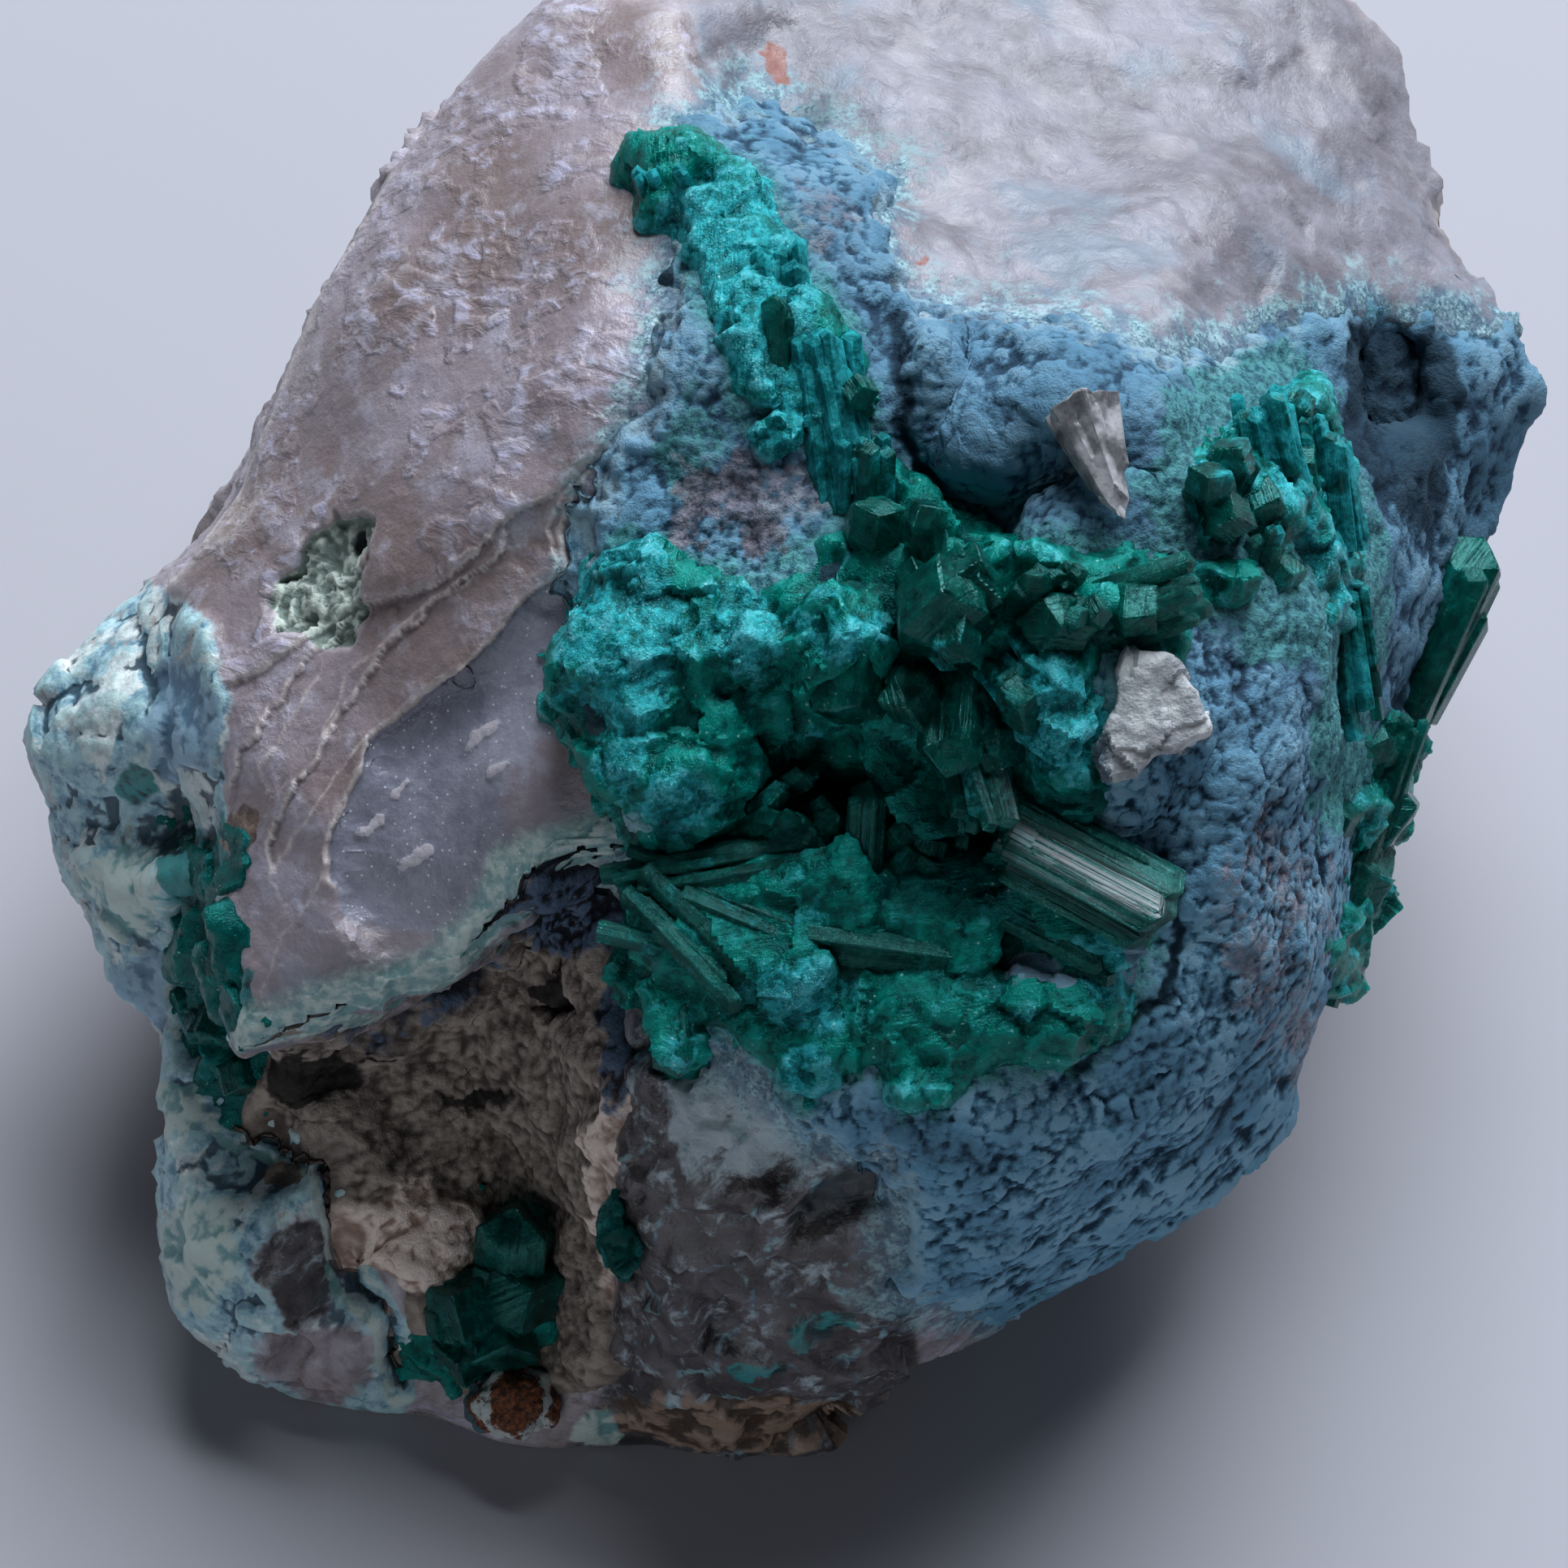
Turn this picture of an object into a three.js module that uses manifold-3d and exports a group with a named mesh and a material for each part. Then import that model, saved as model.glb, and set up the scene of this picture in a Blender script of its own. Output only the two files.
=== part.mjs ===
// A cabinet mineral specimen: emerald-green prisms and a knobbly blue crust on a broken block of quartz.
// Units are millimetres and +Z is up. The stone lies on the flat broken face under it, and its show
// face looks forwards (-Y) and up.

import * as THREE from 'three';
import { ConvexGeometry } from 'three/addons/geometries/ConvexGeometry.js';
import { ConvexHull } from 'three/addons/math/ConvexHull.js';
import { ImprovedNoise } from 'three/addons/math/ImprovedNoise.js';
import { mergeVertices } from 'three/addons/utils/BufferGeometryUtils.js';
import Module from 'manifold-3d';

const wasm = await Module();
wasm.setup();

// ---------------------------------------------------------------- driving dimensions

const faceTilt = THREE.MathUtils.degToRad(55);         // how far the show face's normal rises
const faceCentre = new THREE.Vector3(0, -18.9, 33);    // the middle of the show face
const flankReach = 330;          // the flanks lean outwards from a point this far before the face
const gap = 0.35;                // clearance between two minerals that touch
const crustThickness = 0.22;     // share of the way to the core that the blue crust reaches
const clayThickness = 0.14;      // the same for the clay in the pocket
const corePlace = [-6, 1, -24];  // the core, a point inside the stone that all of the skin can see
const plateEdge = 7.5;           // longest edge of the skin on the smooth quartz plate
const crustEdge = 5.5;           // on the rest of the show face
const coveredEdge = 8.5;         // under the crystals
const backEdge = 11.5;           // and on the hidden sides
const bedThickness = 1.2;        // the grainy bed that the crystals grow on
const plateStep = 0.8;           // height of the broken step below the upper plate
const glassStep = 1.3;           // and of the one down to the smooth dark face
const capSlope = 1.05;           // rise of a crystal's end faces over their run
const capAlternate = 0.5;        // every other side's edge ends this much nearer the tip
const turnStep = 0.77;           // turn from one crystal to the next about their own axes, radians
const bedDepths = [-21, 16];     // how far a crystal bed's outline is carried through the stone
const veinDepths = [-12, -3.6];  // the green lens beside the clay, from its root to its face
const chipHeadroom = 6;          // room kept clear over the white chip
const roomShare = 0.013;         // the coatings' beds lie deeper by this share of the way to the core
const edgeBulge = 0.3;           // how far a halved edge swells towards its corners' slopes

// Weathering of the skin: depth of the roughness and its reach, in millimetres.
const plateRoughness = 0.25;
const crustRoughness = 0.55;
const hiddenRoughness = 1.1;
const faceReach = 4.2;
const hiddenReach = 8;
const finerReach = 2.1;
const finerShare = 0.45;
const knobSkirt = 1.25;          // a knob fades out at this many times its radius
const noduleBulge = 0.12;        // unevenness of the brown nodule
const noduleWaves = 2.3;

// Regions of the show face.
const frontDepth = -20;          // the show face and its flanks lie in front of this w
const tableClearance = 1;        // and this far above the table
const frontHalfWidth = 34;
const frontTop = 36;
const plateRight = -7;           // the smooth plate ends here, and below a slanting line
const plateSlope = 0.6;
const plateFoot = 3;
const coveredCentre = [3, -0.5]; // the crystals hide a round area of the stone
const coveredRadius = 10.5;
const refiningPasses = 5;

// ---------------------------------------------------------------- the show face's frame

const acrossFace = new THREE.Vector3(1, 0, 0);
const upFace = new THREE.Vector3(0, Math.sin(faceTilt), Math.cos(faceTilt));
const outOfFace = new THREE.Vector3(0, -Math.cos(faceTilt), Math.sin(faceTilt));

// A place on the stone: u to the right, v up the face and w out of it, with the flanks' lean.
function place(u, v, w) {
  const spread = 1 - w / flankReach;
  return faceCentre.clone()
    .addScaledVector(acrossFace, u * spread)
    .addScaledVector(upFace, v * spread)
    .addScaledVector(outOfFace, w);
}

// The same frame the other way: a point of space as [u, v, w].
function onFace(point) {
  const offset = point.clone().sub(faceCentre);
  const w = offset.dot(outOfFace);
  const spread = 1 - w / flankReach;
  return [offset.dot(acrossFace) / spread, offset.dot(upFace) / spread, w];
}

function leaning(du, dv, dw) {
  return new THREE.Vector3()
    .addScaledVector(acrossFace, du)
    .addScaledVector(upFace, dv)
    .addScaledVector(outOfFace, dw)
    .normalize();
}

// ---------------------------------------------------------------- shape of the stone's skin, [u, v, w]

const upperPlate = [
  [-6, 17.5, 3], [-5, 27.5, -3], [-5, 34, -9], [-10, 35, -14], [-13.5, 31.5, -14], [-17.5, 26.5, -13],
  [-20, 22, -12.5], [-24, 12.5, -12], [-27, 8.5, -12], [-26, 6, -8.5], [-18.5, 6, -2], [-12.5, 11.5, 1.5],
  [-8.5, 14, 3.5], [-13, 20, -3], [-11.5, 25.5, -6], [-18, 14, -4.5], [-8.5, 22, 0],
];
const lowerPlate = [
  [-9.5, 9.5, 3.6], [-15, 4, 1.6], [-20, -3, 0], [-23.4, -8.5, -3], [-24.2, -11.8, -4.4],
  [-7.5, 2.5, 5.2], [-6.5, -2.5, 5.2], [-13, -4.5, 2.6], [-14.5, -8.2, 0.4], [-18.5, -3, 1],
  [-24.2, 3, -4.2], [-24.6, -3, -4.8], [-20, -10, -2.4], [-12.5, -5.9, 2.2], [-11.4, -3.9, 3.6],
  [-9, -3, 4.6],
];
const underLip = [
  [-22, -12.8, -10.5], [-19, -11.7, -11.5], [-14.3, -10, -11], [-11.9, -7.4, -9.5], [-10.6, -5.4, -7.5],
  [-8.4, -4.6, -5],
];
const pocketFloor = [
  [-20.5, -14, -13.5], [-17.5, -18.5, -14.5], [-13, -15, -14.5], [-9.3, -12, -8.5], [-7, -10, -3.5],
  [-9, -18, -12.5], [-12.5, -21, -17], [-9.3, -25.5, -15.5], [-14.5, -24.5, -17], [-16.5, -14.2, -12.5],
];
const leftLobes = [
  [-27.5, 7.5, -13], [-32, 4.5, -16.5], [-33, 2.5, -17.5], [-32.2, -2.5, -17.5], [-30, -8, -17.5],
  [-27.4, -11.5, -16.5], [-27.5, 2.5, -9.5], [-29.5, 0, -11.5], [-25.6, -1.5, -13], [-25.6, -6.5, -14],
  [-28.8, -5, -12.5], [-26, 4.6, -8.5], [-25, -11, -14.5],
];
const lowerLeftLobe = [
  [-26.8, -14.5, -14.5], [-27.6, -18.3, -16.5], [-26.6, -24, -18.5], [-23, -26.6, -19], [-17.5, -26, -17.5],
  [-19.3, -19.5, -12], [-21.5, -17.3, -11], [-22.5, -22, -11.8], [-17.6, -23.5, -14], [-23.8, -14.6, -14],
];
const bottomRim = [
  [-16, -27.3, -18], [-13.5, -28.5, -18.4], [-11, -29.2, -18.6], [-6, -28.7, -18], [-2.4, -29.8, -18],
  [1.2, -29, -17.8],
];
const smokyQuartz = [
  [-6, -12.5, -1], [-3.4, -11.2, 1], [-1, -15.5, 0.4], [4, -17.3, 0.2], [4.8, -22.6, -4.5],
  [3, -26, -9.5], [-4, -24.4, -8], [-6.4, -21, -5.5], [-2.5, -27.5, -12.5], [-5.5, -26.8, -12],
  [-6.2, -16.5, -2.2], [0, -20.5, -3],
];
const lowerCrust = [
  [-0.2, -13, 3], [4.8, -13.7, 4], [12, -13.7, 3], [16.2, -10.1, 3.2], [19, -6.6, 2.2],
  [22.6, -1.2, -2], [23, -8.4, -8], [21.2, -14.8, -11.5], [17.3, -18.2, -11], [14.8, -18.6, -7.5],
  [10, -18.6, -3], [4.8, -18.4, -0.4], [10, -22.4, -13], [4.8, -25.6, -13.5], [19.5, -12.5, -4],
];
const lowerRightRim = [
  [22.3, -14.6, -15], [17.3, -18.9, -15.5], [10, -22.8, -16.5], [3, -27.7, -17.2],
];
const aroundChip = [
  [19.5, 4, 4.5], [22.6, 6, 0.5], [15.5, -1.2, 6.5], [19, -3, 4], [16, 3.4, 7.6],
];
const blueHollow = [
  [6.4, 18.8, 3.4], [11.2, 20, 1.6], [13.2, 16.6, 4.8], [8.4, 11.8, -0.6], [9.4, 15, 3.2],
  [7.2, 16.4, 0.6], [14.4, 12.6, 5.6], [17.3, 13, 4.4], [11, 12.1, 1.2], [5.8, 14, 1.2],
];
const upperMiddle = [
  [1.2, 23.8, -1.6], [-2.4, 27.4, -4.6], [1.2, 29.1, -8.5], [4.8, 25.6, -6], [6.6, 21, -1], [-2.5, 30.5, -10],
];
const upperRight = [
  [4.8, 20.6, 0.2], [12, 22, -1.8], [16.2, 21, -1.2], [19, 23.8, -6], [26.2, 22, -13], [31.2, 20.6, -17.5],
  [29, 24.5, -19.5], [26.5, 31, -20.5], [24.6, 34.5, -22], [15.5, 31, -13.5], [6.6, 31, -11],
  [1.2, 34.5, -14], [12, 26.5, -8], [21.2, 28.5, -13.5],
];
const rightBlock = [
  [23.2, 17.4, -8.5], [31.2, 19.2, -17.3], [32.4, 17, -18.3], [31.6, 14, -19.5], [29.2, 12.8, -18.5],
  [29.8, 17.6, -15.8],
];
const rightFlank = [
  [22.6, 13, -3.5], [25.5, 9.5, -8], [26.2, 4.1, -12.5], [28, 8, -15.5], [27.4, 4.5, -17.5],
  [26.2, 0.2, -17.5], [24.4, -6.8, -17.5], [22.2, -9.8, -17], [23.6, 0.2, -8.5],
];
const underCrystals = [
  [0, 5, 4.6], [5, 8, 5.6], [10, 7, 6.4], [14, 8.3, 6], [-4, 9, 4.2], [-2, 13, 3.4], [2, 14, 3.2],
  [19, 8.5, 3.6], [-5, 22, 0.2], [-2, 21.3, 2.2], [0.3, 18, 3.4], [3.4, 16.8, 3.2], [10, 2, 6], [4, 3, 4.8],
];
const lowerHollow = [
  [0, -1.2, -3], [5, -2.2, -4], [9, -2.8, -2.5], [-4, -3.2, 0.2], [-3, -7, 2.6], [3, -8.2, 3],
  [9, -8.4, 3.4], [14, -6.2, 3.4], [13.4, -1.6, 2.6],
];
const topEdge = [
  [12, 38, -20], [21.2, 40, -26], [4.8, 42, -26], [-4, 39, -22],
];
// The hidden sides, back and underside, as [x, y, z] of the standing stone.
const hiddenSides = [
  [-29, 3, 15], [-23, 8, 23], [-17.5, 17, 29], [-10.5, 25, 34], [-28, -5, 8], [-26.5, -16, 4], [-25, 4, 9],
  [-20, 22, 18], [-13, 30, 25], [-3, 34, 30], [5, 35, 18], [5, 33.6, 7], [17, 34, 24], [24.5, 28, 22],
  [29, 18.5, 24], [30.5, 9, 19], [27.5, 1, 10], [25, 18, 9], [19.5, -9, 5.5], [-21.5, 13, 7], [-13, 26, 9],
  [15, 30, 8], [13, -20, 4.5], [-16, 19, 24], [25, 10, 4.5], [20, 24, 15],
];
const restingFace = [
  [-23, -22, -2], [-21, 3, -2], [-15, 18, -2], [-3, 27, -2], [12, 26, -2], [20, 16, -2], [20, 1, -2],
  [12, -13, -2], [3, -24, -2], [-4, -33, -2], [-14, -31.5, -2], [0, 0, -4],
];

// The corners of the recess beside the right-hand block, from its mouth down to its floor.
const recessCorners = [
  [24, 20.8, -2], [28.6, 20.6, -8], [28.6, 14.6, -8], [24.8, 14, -2], [24.6, 19.8, -21], [28, 19.6, -22],
  [28, 15.8, -22], [25.4, 15.4, -20],
];

// Knobs of the skin: [u, v, w, radius, height].
const knobs = [
  [2.4, 22.6, -1, 2, 1.3], [3.9, 24.4, -4, 2, 1.2], [0.6, 26.2, -4, 2.2, 1.2], [-2.8, 24.4, -1, 2, 0.8],
  [8.2, 18.3, 3, 2.6, 1.6], [10.4, 16.8, 4, 2.4, 1.3], [6.7, 15.6, 2, 1.8, 1.6],
  [12.8, 11.4, 5.5, 2, 1.2], [15.4, 14.6, 5, 2.4, 0.9], [-3.4, 17.4, 3, 2.2, 1], [-2.6, 14.6, 3.4, 2, 0.9],
  [20.2, 1.2, 3, 2.6, 1.1], [22.4, 4.2, 0, 2.4, 1], [17.6, -1.8, 5.2, 2.2, 1.1], [18.2, -5.6, 3, 2.4, 1],
  [20.8, -8.4, -1.6, 2.6, 1.1], [7.4, -15.6, 2.4, 2.6, 1], [12.8, -16.4, -0.6, 2.8, 1.1],
  [17.6, -13.6, -1.6, 2.6, 1], [2.4, -15.8, 1.4, 2, 0.9], [8.6, -18.8, -3.4, 2.4, 1],
  [-31.6, 1.6, -15.5, 2.6, 1.1], [-30.2, -3.4, -14.5, 2.4, 1.2], [-29.2, 4, -12.5, 2.4, 0.8],
  [-28.4, -8.8, -15.5, 2.2, 1.1], [-25.4, -18.6, -13.8, 2.6, 1.2], [-22.2, -19.6, -11, 2.2, 1.1],
  [-20.4, -23.4, -13, 2.2, 1], [-25, -23, -15.5, 2.6, 1], [-8.6, -28.3, -17.5, 1.8, 1.2],
  [-3.6, -14.6, 0, 1.8, 0.8], [-1, -18.2, -1, 2, 0.8], [-4.4, -19.6, -4, 2.2, 0.9],
  [-12.2, -12.6, -10.5, 2, 1.2], [-9.4, -14.6, -9, 1.9, 1.2], [-8, -12, -5.5, 1.6, 0.9],
  [-16.4, -18.4, -14.2, 2.4, 1.4], [-13.2, -16, -14, 1.8, 0.9], [31.2, 17.6, -17, 2.6, 1],
];

// ---------------------------------------------------------------- where one mineral ends, [u, v]

const crustOutline = [
  [-4.9, 29.5], [-4.9, 24], [-6, 17.4], [-8.3, 13], [-9.5, 5.9], [-8.8, 2.4], [-6.4, -2.3],
  [-7, -4.8], [-6.3, -8.4], [-3.5, -11.4], [1.2, -15.6], [4.3, -16.8], [5.2, -20], [4.8, -22.6],
  [10.2, -23.8], [22.6, -16.2], [26, -9.4], [30, 0], [32.6, 12], [34.5, 16], [33, 20.4],
  [28.6, 20.6], [24.4, 21.2], [21.2, 20.2], [17.3, 18.9], [12.4, 20.6], [6.3, 21], [4.6, 23.6],
  [5, 26.4], [2.4, 28.4], [-0.4, 30.2],
];
const crustDepth = [-23, 14];
const clayOutline = [
  [-24, -13], [-20.2, -11.2], [-17, -10.4], [-14.2, -9.2], [-12.2, -6.8], [-11, -4.9], [-8.4, -4.1],
  [-7, -5.8], [-7.2, -9], [-6.5, -14.5], [-7.6, -17.4], [-7, -22.5], [-7, -25.4], [-8, -27],
  [-13.5, -27.4], [-16, -26], [-17.6, -21.5], [-19, -21], [-19.6, -16.6], [-23.6, -14.6],
];
const clayDepth = [-19.8, 6];
const plateStepOutline = [
  [-5.4, 20.4], [-6.2, 17.6], [-8.4, 14.3], [-10, 12.9], [-14, 9.8], [-18.7, 7.9], [-20.8, 6.6],
  [-26, 3.6], [-27, -14], [-14, -16], [0, -4], [0, 18],
];
const glassStepOutline = [
  [-7.6, 14.8], [-9.8, 11], [-10, 9.4], [-12.4, 6.8], [-13.8, 5.3], [-17, 3], [-18.4, 1.8],
  [-18.7, 0.3], [-20.2, -3], [-20, -5], [-18.2, -7.4], [-16.8, -13], [0, -12], [0, 14],
];
const stepDepth = [-9, 12];
const greenPit = [
  [-23.3, 8.3], [-19.8, 11.9], [-18.2, 11.4], [-18.6, 6.2], [-20.6, 5.9], [-22.2, 6.8],
];
const pitDepth = 1.1;
const clusterOutline = [
  [-7.8, 27], [-5.6, 28.4], [-1, 26.8], [1, 23], [3.6, 18.6], [4, 14.6], [6, 13], [9.8, 10.9],
  [20.4, 10.4], [20.8, 8], [14.6, 6.6], [13.6, -2], [16.2, -5], [15.6, -9.6], [13.4, -12.2],
  [8, -13], [5.2, -14.4], [4, -12.4], [0.8, -14.2], [-3, -10.8], [-5.6, -12], [-6.8, -5],
  [-6.6, -2], [-10.6, 3.6], [-8.8, 8.8], [-7, 11], [-1, 8.8], [2.6, 11.6], [2.2, 14.6], [-1.8, 16],
  [-4.3, 22], [-5, 24.4],
];
const flankOutline = [
  [17.9, 15.8], [20.6, 15.8], [22, 18.4], [23.6, 17.4], [24.4, 12.4], [25.4, 9], [25, 6.4],
  [23.2, 6.4], [22.4, 9.6], [18, 12.2],
];
const rimOutline = [
  [25.4, 4], [28.2, 3.6], [28.8, -1], [26.6, -7.4], [23, -9.8], [23.4, -6.8], [24.4, -2],
];
const pocketOutline = [
  [-13.4, -17.4], [-10.6, -17.6], [-9.8, -20.8], [-9, -23], [-10.4, -25], [-12.4, -26], [-13.8, -27],
  [-16, -25.6], [-16.6, -23], [-14.4, -21.2], [-13, -20.6],
];
const leftOutline = [
  [-27.3, -1.6], [-24.9, -2.2], [-24.4, -6.4], [-24, -10.6], [-22.8, -14], [-24.6, -14.6],
  [-26.6, -12.4], [-26.9, -7], [-26.2, -4.6],
];
const veinOutline = [
  [-6.6, -16.9], [-7.5, -18], [-8, -19.4], [-7.7, -20.6], [-7, -21.7], [-6.5, -20.6], [-6.2, -19],
];
const chipOutline = [
  [15.1, 6.2], [15.6, 5.6], [17, 5.4], [18, 4.1], [18.6, 2.3], [17.2, 1.6], [16.2, 1.2], [15.5, 0.4],
  [14.3, 0.2], [13.7, 1], [14.2, 2.5], [14.7, 3.6], [14.7, 5],
];
const chipDepth = [4.5, 9.2];

// ---------------------------------------------------------------- crystals

// Each crystal: its tip's place, the way it leans (right, up, out), its radius and its length.
const ridgeCrystals = [
  [-5.8, 26.6, 0.4, -0.3, 0.4, 1, 1.7, 4], 
   [-0.8, 24, 2.8, 0.3, 0.2, 1, 1.1, 6],
  [-2.6, 22.4, 4.2, -0.2, 0.1, 1, 1.3, 5], [-0.4, 21.6, 4.6, -0.05, 1, 0.25, 0.75, 4.4],
  [-0.7, 18.8, 5.4, -0.3, 0.3, 1, 1.1, 4], [0.8, 17.3, 6.2, 0.1, -0.1, 1, 1.8, 5],
   [3.5, 17.5, 6, 0.2, 0.2, 1, 0.85, 4],
  [3.4, 13.9, 7.2, 0.1, 0.4, 1, 1.3, 6], [4.2, 11.8, 8.2, 0.1, 0.2, 1, 1.4, 6],
];
const mainCrystals = [
  [6, 12.3, 9.4, -0.1, 0.6, 1, 0.95, 6], [7, 8.5, 12.4, 0, 0.25, 1, 2.2, 8],
  [8.7, 9.9, 11, 0.5, 0.5, 1, 1.2, 6],
  [7.7, 6.2, 12, 0.1, -0.2, 1, 1.2, 7], [12.3, 7.9, 12.2, 0.15, 0.2, 1, 2.5, 7.5],
  [20.3, 9.2, 9, 1, 0.3, 0.28, 1.6, 6.4], 
  [12.3, 4.3, 11.4, 0.2, -0.1, 1, 1.6, 6], [12.7, 1.8, 10.8, 0.3, -0.4, 1, 1.5, 6],
  [10.4, 3.4, 11, -0.2, -0.2, 1, 1.4, 6], [9.5, -2.4, 8.6, 0.2, -1, 0.3, 1.6, 7],
  [7.2, 0.2, 9, -0.1, -0.9, 0.5, 1.5, 6], [5.5, 3.2, 9.6, -0.1, -0.4, 1, 1.4, 6],
  [2.9, 6.8, 9.8, 0, 0.1, 1, 2.3, 6.5], [0.8, 5, 8.6, -0.3, -0.2, 1, 1.5, 5.5],
  [3.3, 3.4, 9, 0.2, -0.6, 1, 2, 6], [-1.6, 6.5, 8, -0.1, 0.2, 1, 1.6, 5],
  [-3.9, 5.4, 7.4, -0.2, 0, 1, 1.5, 5], 
];
const turquoiseCrystals = [
  [-6.8, 9.8, 6.6, -0.2, 0.3, 1, 1.6, 4], [-7.6, 7.2, 6.6, -0.3, 0, 1, 1.7, 4],
   [-8.3, 4.2, 6.4, -0.4, -0.2, 1, 1.4, 4],
  [-10.3, 3.9, 5.4, -0.5, 0.1, 1, 0.8, 3], [-6.4, 3, 7.4, -0.1, -0.1, 1, 1.7, 4.5],
  [-5, -0.6, 7, 0, -0.5, 1, 1.6, 5],
];
const hollowCrystals = [
  [1.4, -1.5, 5.6, 1, 0.24, 0.2, 1.3, 8.5], [-1.4, -9.2, 6.4, 0.72, -0.68, 0.16, 1.7, 8.4],
  [0.8, -4.8, 5, 1, -0.05, 0.14, 1.3, 7.2], [10.2, -2.6, 8.2, -0.9, 0.4, 0.16, 1.7, 7.8],
  [9.4, -5.7, 7.4, -1, 0.16, 0.22, 1.7, 6.5], [0.9, -8.8, 7.4, 0, -0.2, 1, 2, 5.5],
  [13.9, -10.2, 6.8, 1, -0.05, 0.12, 1.85, 9.6],
  [14.4, -7.2, 7.2, 0.4, 0.1, 1, 1.5, 5], [0.6, -14.1, 5.6, 0.1, -1, 0.4, 0.95, 3.6],
   [5.4, -14.6, 6, -0.1, -1, 0.3, 0.9, 4],
  [7.4, -13.4, 6.4, 0.2, -0.6, 1, 0.85, 3.4], [-4.7, -13, 4.4, 0.1, -1, 0.3, 1.1, 4.8],
  [6.8, -6.6, 6.8, 0.1, 0.2, 1, 1.7, 5.5], 
];
const flankCrystals = [
  [18.7, 13.5, 7.2, -0.1, 0.2, 1, 1.1, 4], [19.9, 11.8, 6.6, 0.3, 0, 1, 1.2, 4.5],
  [20.1, 14.8, 5.6, 0.3, 0.5, 1, 1.1, 5], [21.8, 12.6, 3.6, 0.6, 0.2, 1, 1.2, 5],
  [22.6, 17.6, -2, 0.2, 1, 0.5, 1, 5], [23.4, 14.2, -0.6, 0.6, 0.3, 1, 1.2, 5.5],
  [23.9, 11.2, -0.8, 0.7, 0, 1, 1.3, 6], [22.4, 9.2, 3, 0.5, -0.1, 1, 1.2, 5],
  [24.7, 7.8, -3.6, 0.8, -0.2, 1, 1.2, 6],
];
const rimCrystals = [
  [26.8, 2, -11.3, 0.8, 0.3, 1, 2, 8], [27.9, -1, -13.2, 1, 0, 0.8, 2, 7],
  [26.8, -4.4, -13.2, 1, -0.3, 0.8, 2, 7], [25, -7.8, -13.2, 0.7, -0.7, 0.8, 1.7, 6],
  [25, -1.6, -8.4, 0.8, 0.1, 1, 1.6, 6],
];
const pocketCrystals = [
  [-11.9, -18.2, -10.8, 0, 1, 0.25, 1.5, 6], [-15, -23.1, -12, -0.2, 0.2, 1, 1.9, 6],
  [-11.3, -22.5, -11.8, 0.2, 0.1, 1, 2, 7], [-14.2, -25.9, -14, -0.1, -0.4, 1, 1.4, 5],
  [-13.1, -23.2, -12.4, 0, 0.1, 1, 1.6, 6],
];
const leftCrystals = [
  [-25.3, -2.4, -9.6, 0.2, 0.5, 1, 1.3, 5], [-25.8, -4.6, -10.4, 0, -0.2, 1, 1.5, 5],
  [-25, -7.6, -12, 0.3, -0.3, 1, 1.2, 4], [-24.6, -11.2, -12, 0.2, -0.2, 1, 1.3, 4.5],
  [-23.7, -13.3, -11.8, 0.3, -0.4, 1, 1.1, 4],
];
const edgePrism = [30.8, 11, -15.6, 0.42, 0.88, 0.16, 1.6, 9];
const edgeTurn = 0.4;
const quartzPrism = [14.9, 11.7, 8.6, 0.38, -0.85, 0.4, 1, 5.4];
const pointTurn = 0.3;
const nodulePlace = [-11.9, -27.3, -15.6];
const noduleSize = [2, 1.5, 1.7];

// ---------------------------------------------------------------- turning shapes into solids

// A closed three.js geometry as a solid that can be joined and cut.
function solidOf(geometry) {
  const bare = geometry.clone();
  for (const name of Object.keys(bare.attributes)) {
    if (name !== 'position') bare.deleteAttribute(name);
  }
  const merged = mergeVertices(bare, 1e-4);
  const vertProperties = new Float32Array(merged.attributes.position.array);
  const triVerts = new Uint32Array(merged.index.array);
  return new wasm.Manifold(new wasm.Mesh({ numProp: 3, vertProperties, triVerts }));
}

function geometryOf(solid) {
  const mesh = solid.getMesh();
  const geometry = new THREE.BufferGeometry();
  geometry.setAttribute('position', new THREE.BufferAttribute(new Float32Array(mesh.vertProperties), 3));
  geometry.setIndex(new THREE.BufferAttribute(new Uint32Array(mesh.triVerts), 1));
  return geometry;
}

// Joined crystals can leave a loose splinter where the rock trims them, so the largest body is kept.
function largestBody(solid) {
  const bodies = solid.decompose();
  bodies.sort((a, b) => b.volume() - a.volume());
  return bodies[0];
}

// A closed outline on the show face, carried straight through the stone between two depths.
function throughFace(outline, depths) {
  const shape = new THREE.Shape(outline.map(([u, v]) => new THREE.Vector2(u, v)));
  const [low, high] = depths;
  const geometry = new THREE.ExtrudeGeometry(shape, { depth: high - low, bevelEnabled: false });
  const positions = geometry.attributes.position;
  for (let i = 0; i < positions.count; i += 1) {
    const point = place(positions.getX(i), positions.getY(i), low + positions.getZ(i));
    positions.setXYZ(i, point.x, point.y, point.z);
  }
  return solidOf(geometry);
}

// The outline moved outwards by a distance, corner by corner.
function widened(outline, distance) {
  const area = THREE.ShapeUtils.area(outline.map(([u, v]) => new THREE.Vector2(u, v)));
  const turn = Math.sign(area);
  return outline.map(([u, v], i) => {
    const before = outline[(i + outline.length - 1) % outline.length];
    const after = outline[(i + 1) % outline.length];
    const along = new THREE.Vector2(after[0] - before[0], after[1] - before[1]).normalize();
    return [u + along.y * turn * distance, v - along.x * turn * distance];
  });
}

// ---------------------------------------------------------------- the stone's skin

const core = place(...corePlace);
const noise = new ImprovedNoise();

function isFront(point) {
  const [u, v, w] = onFace(point);
  return w > frontDepth && point.z > tableClearance && Math.abs(u) < frontHalfWidth && v < frontTop;
}

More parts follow.
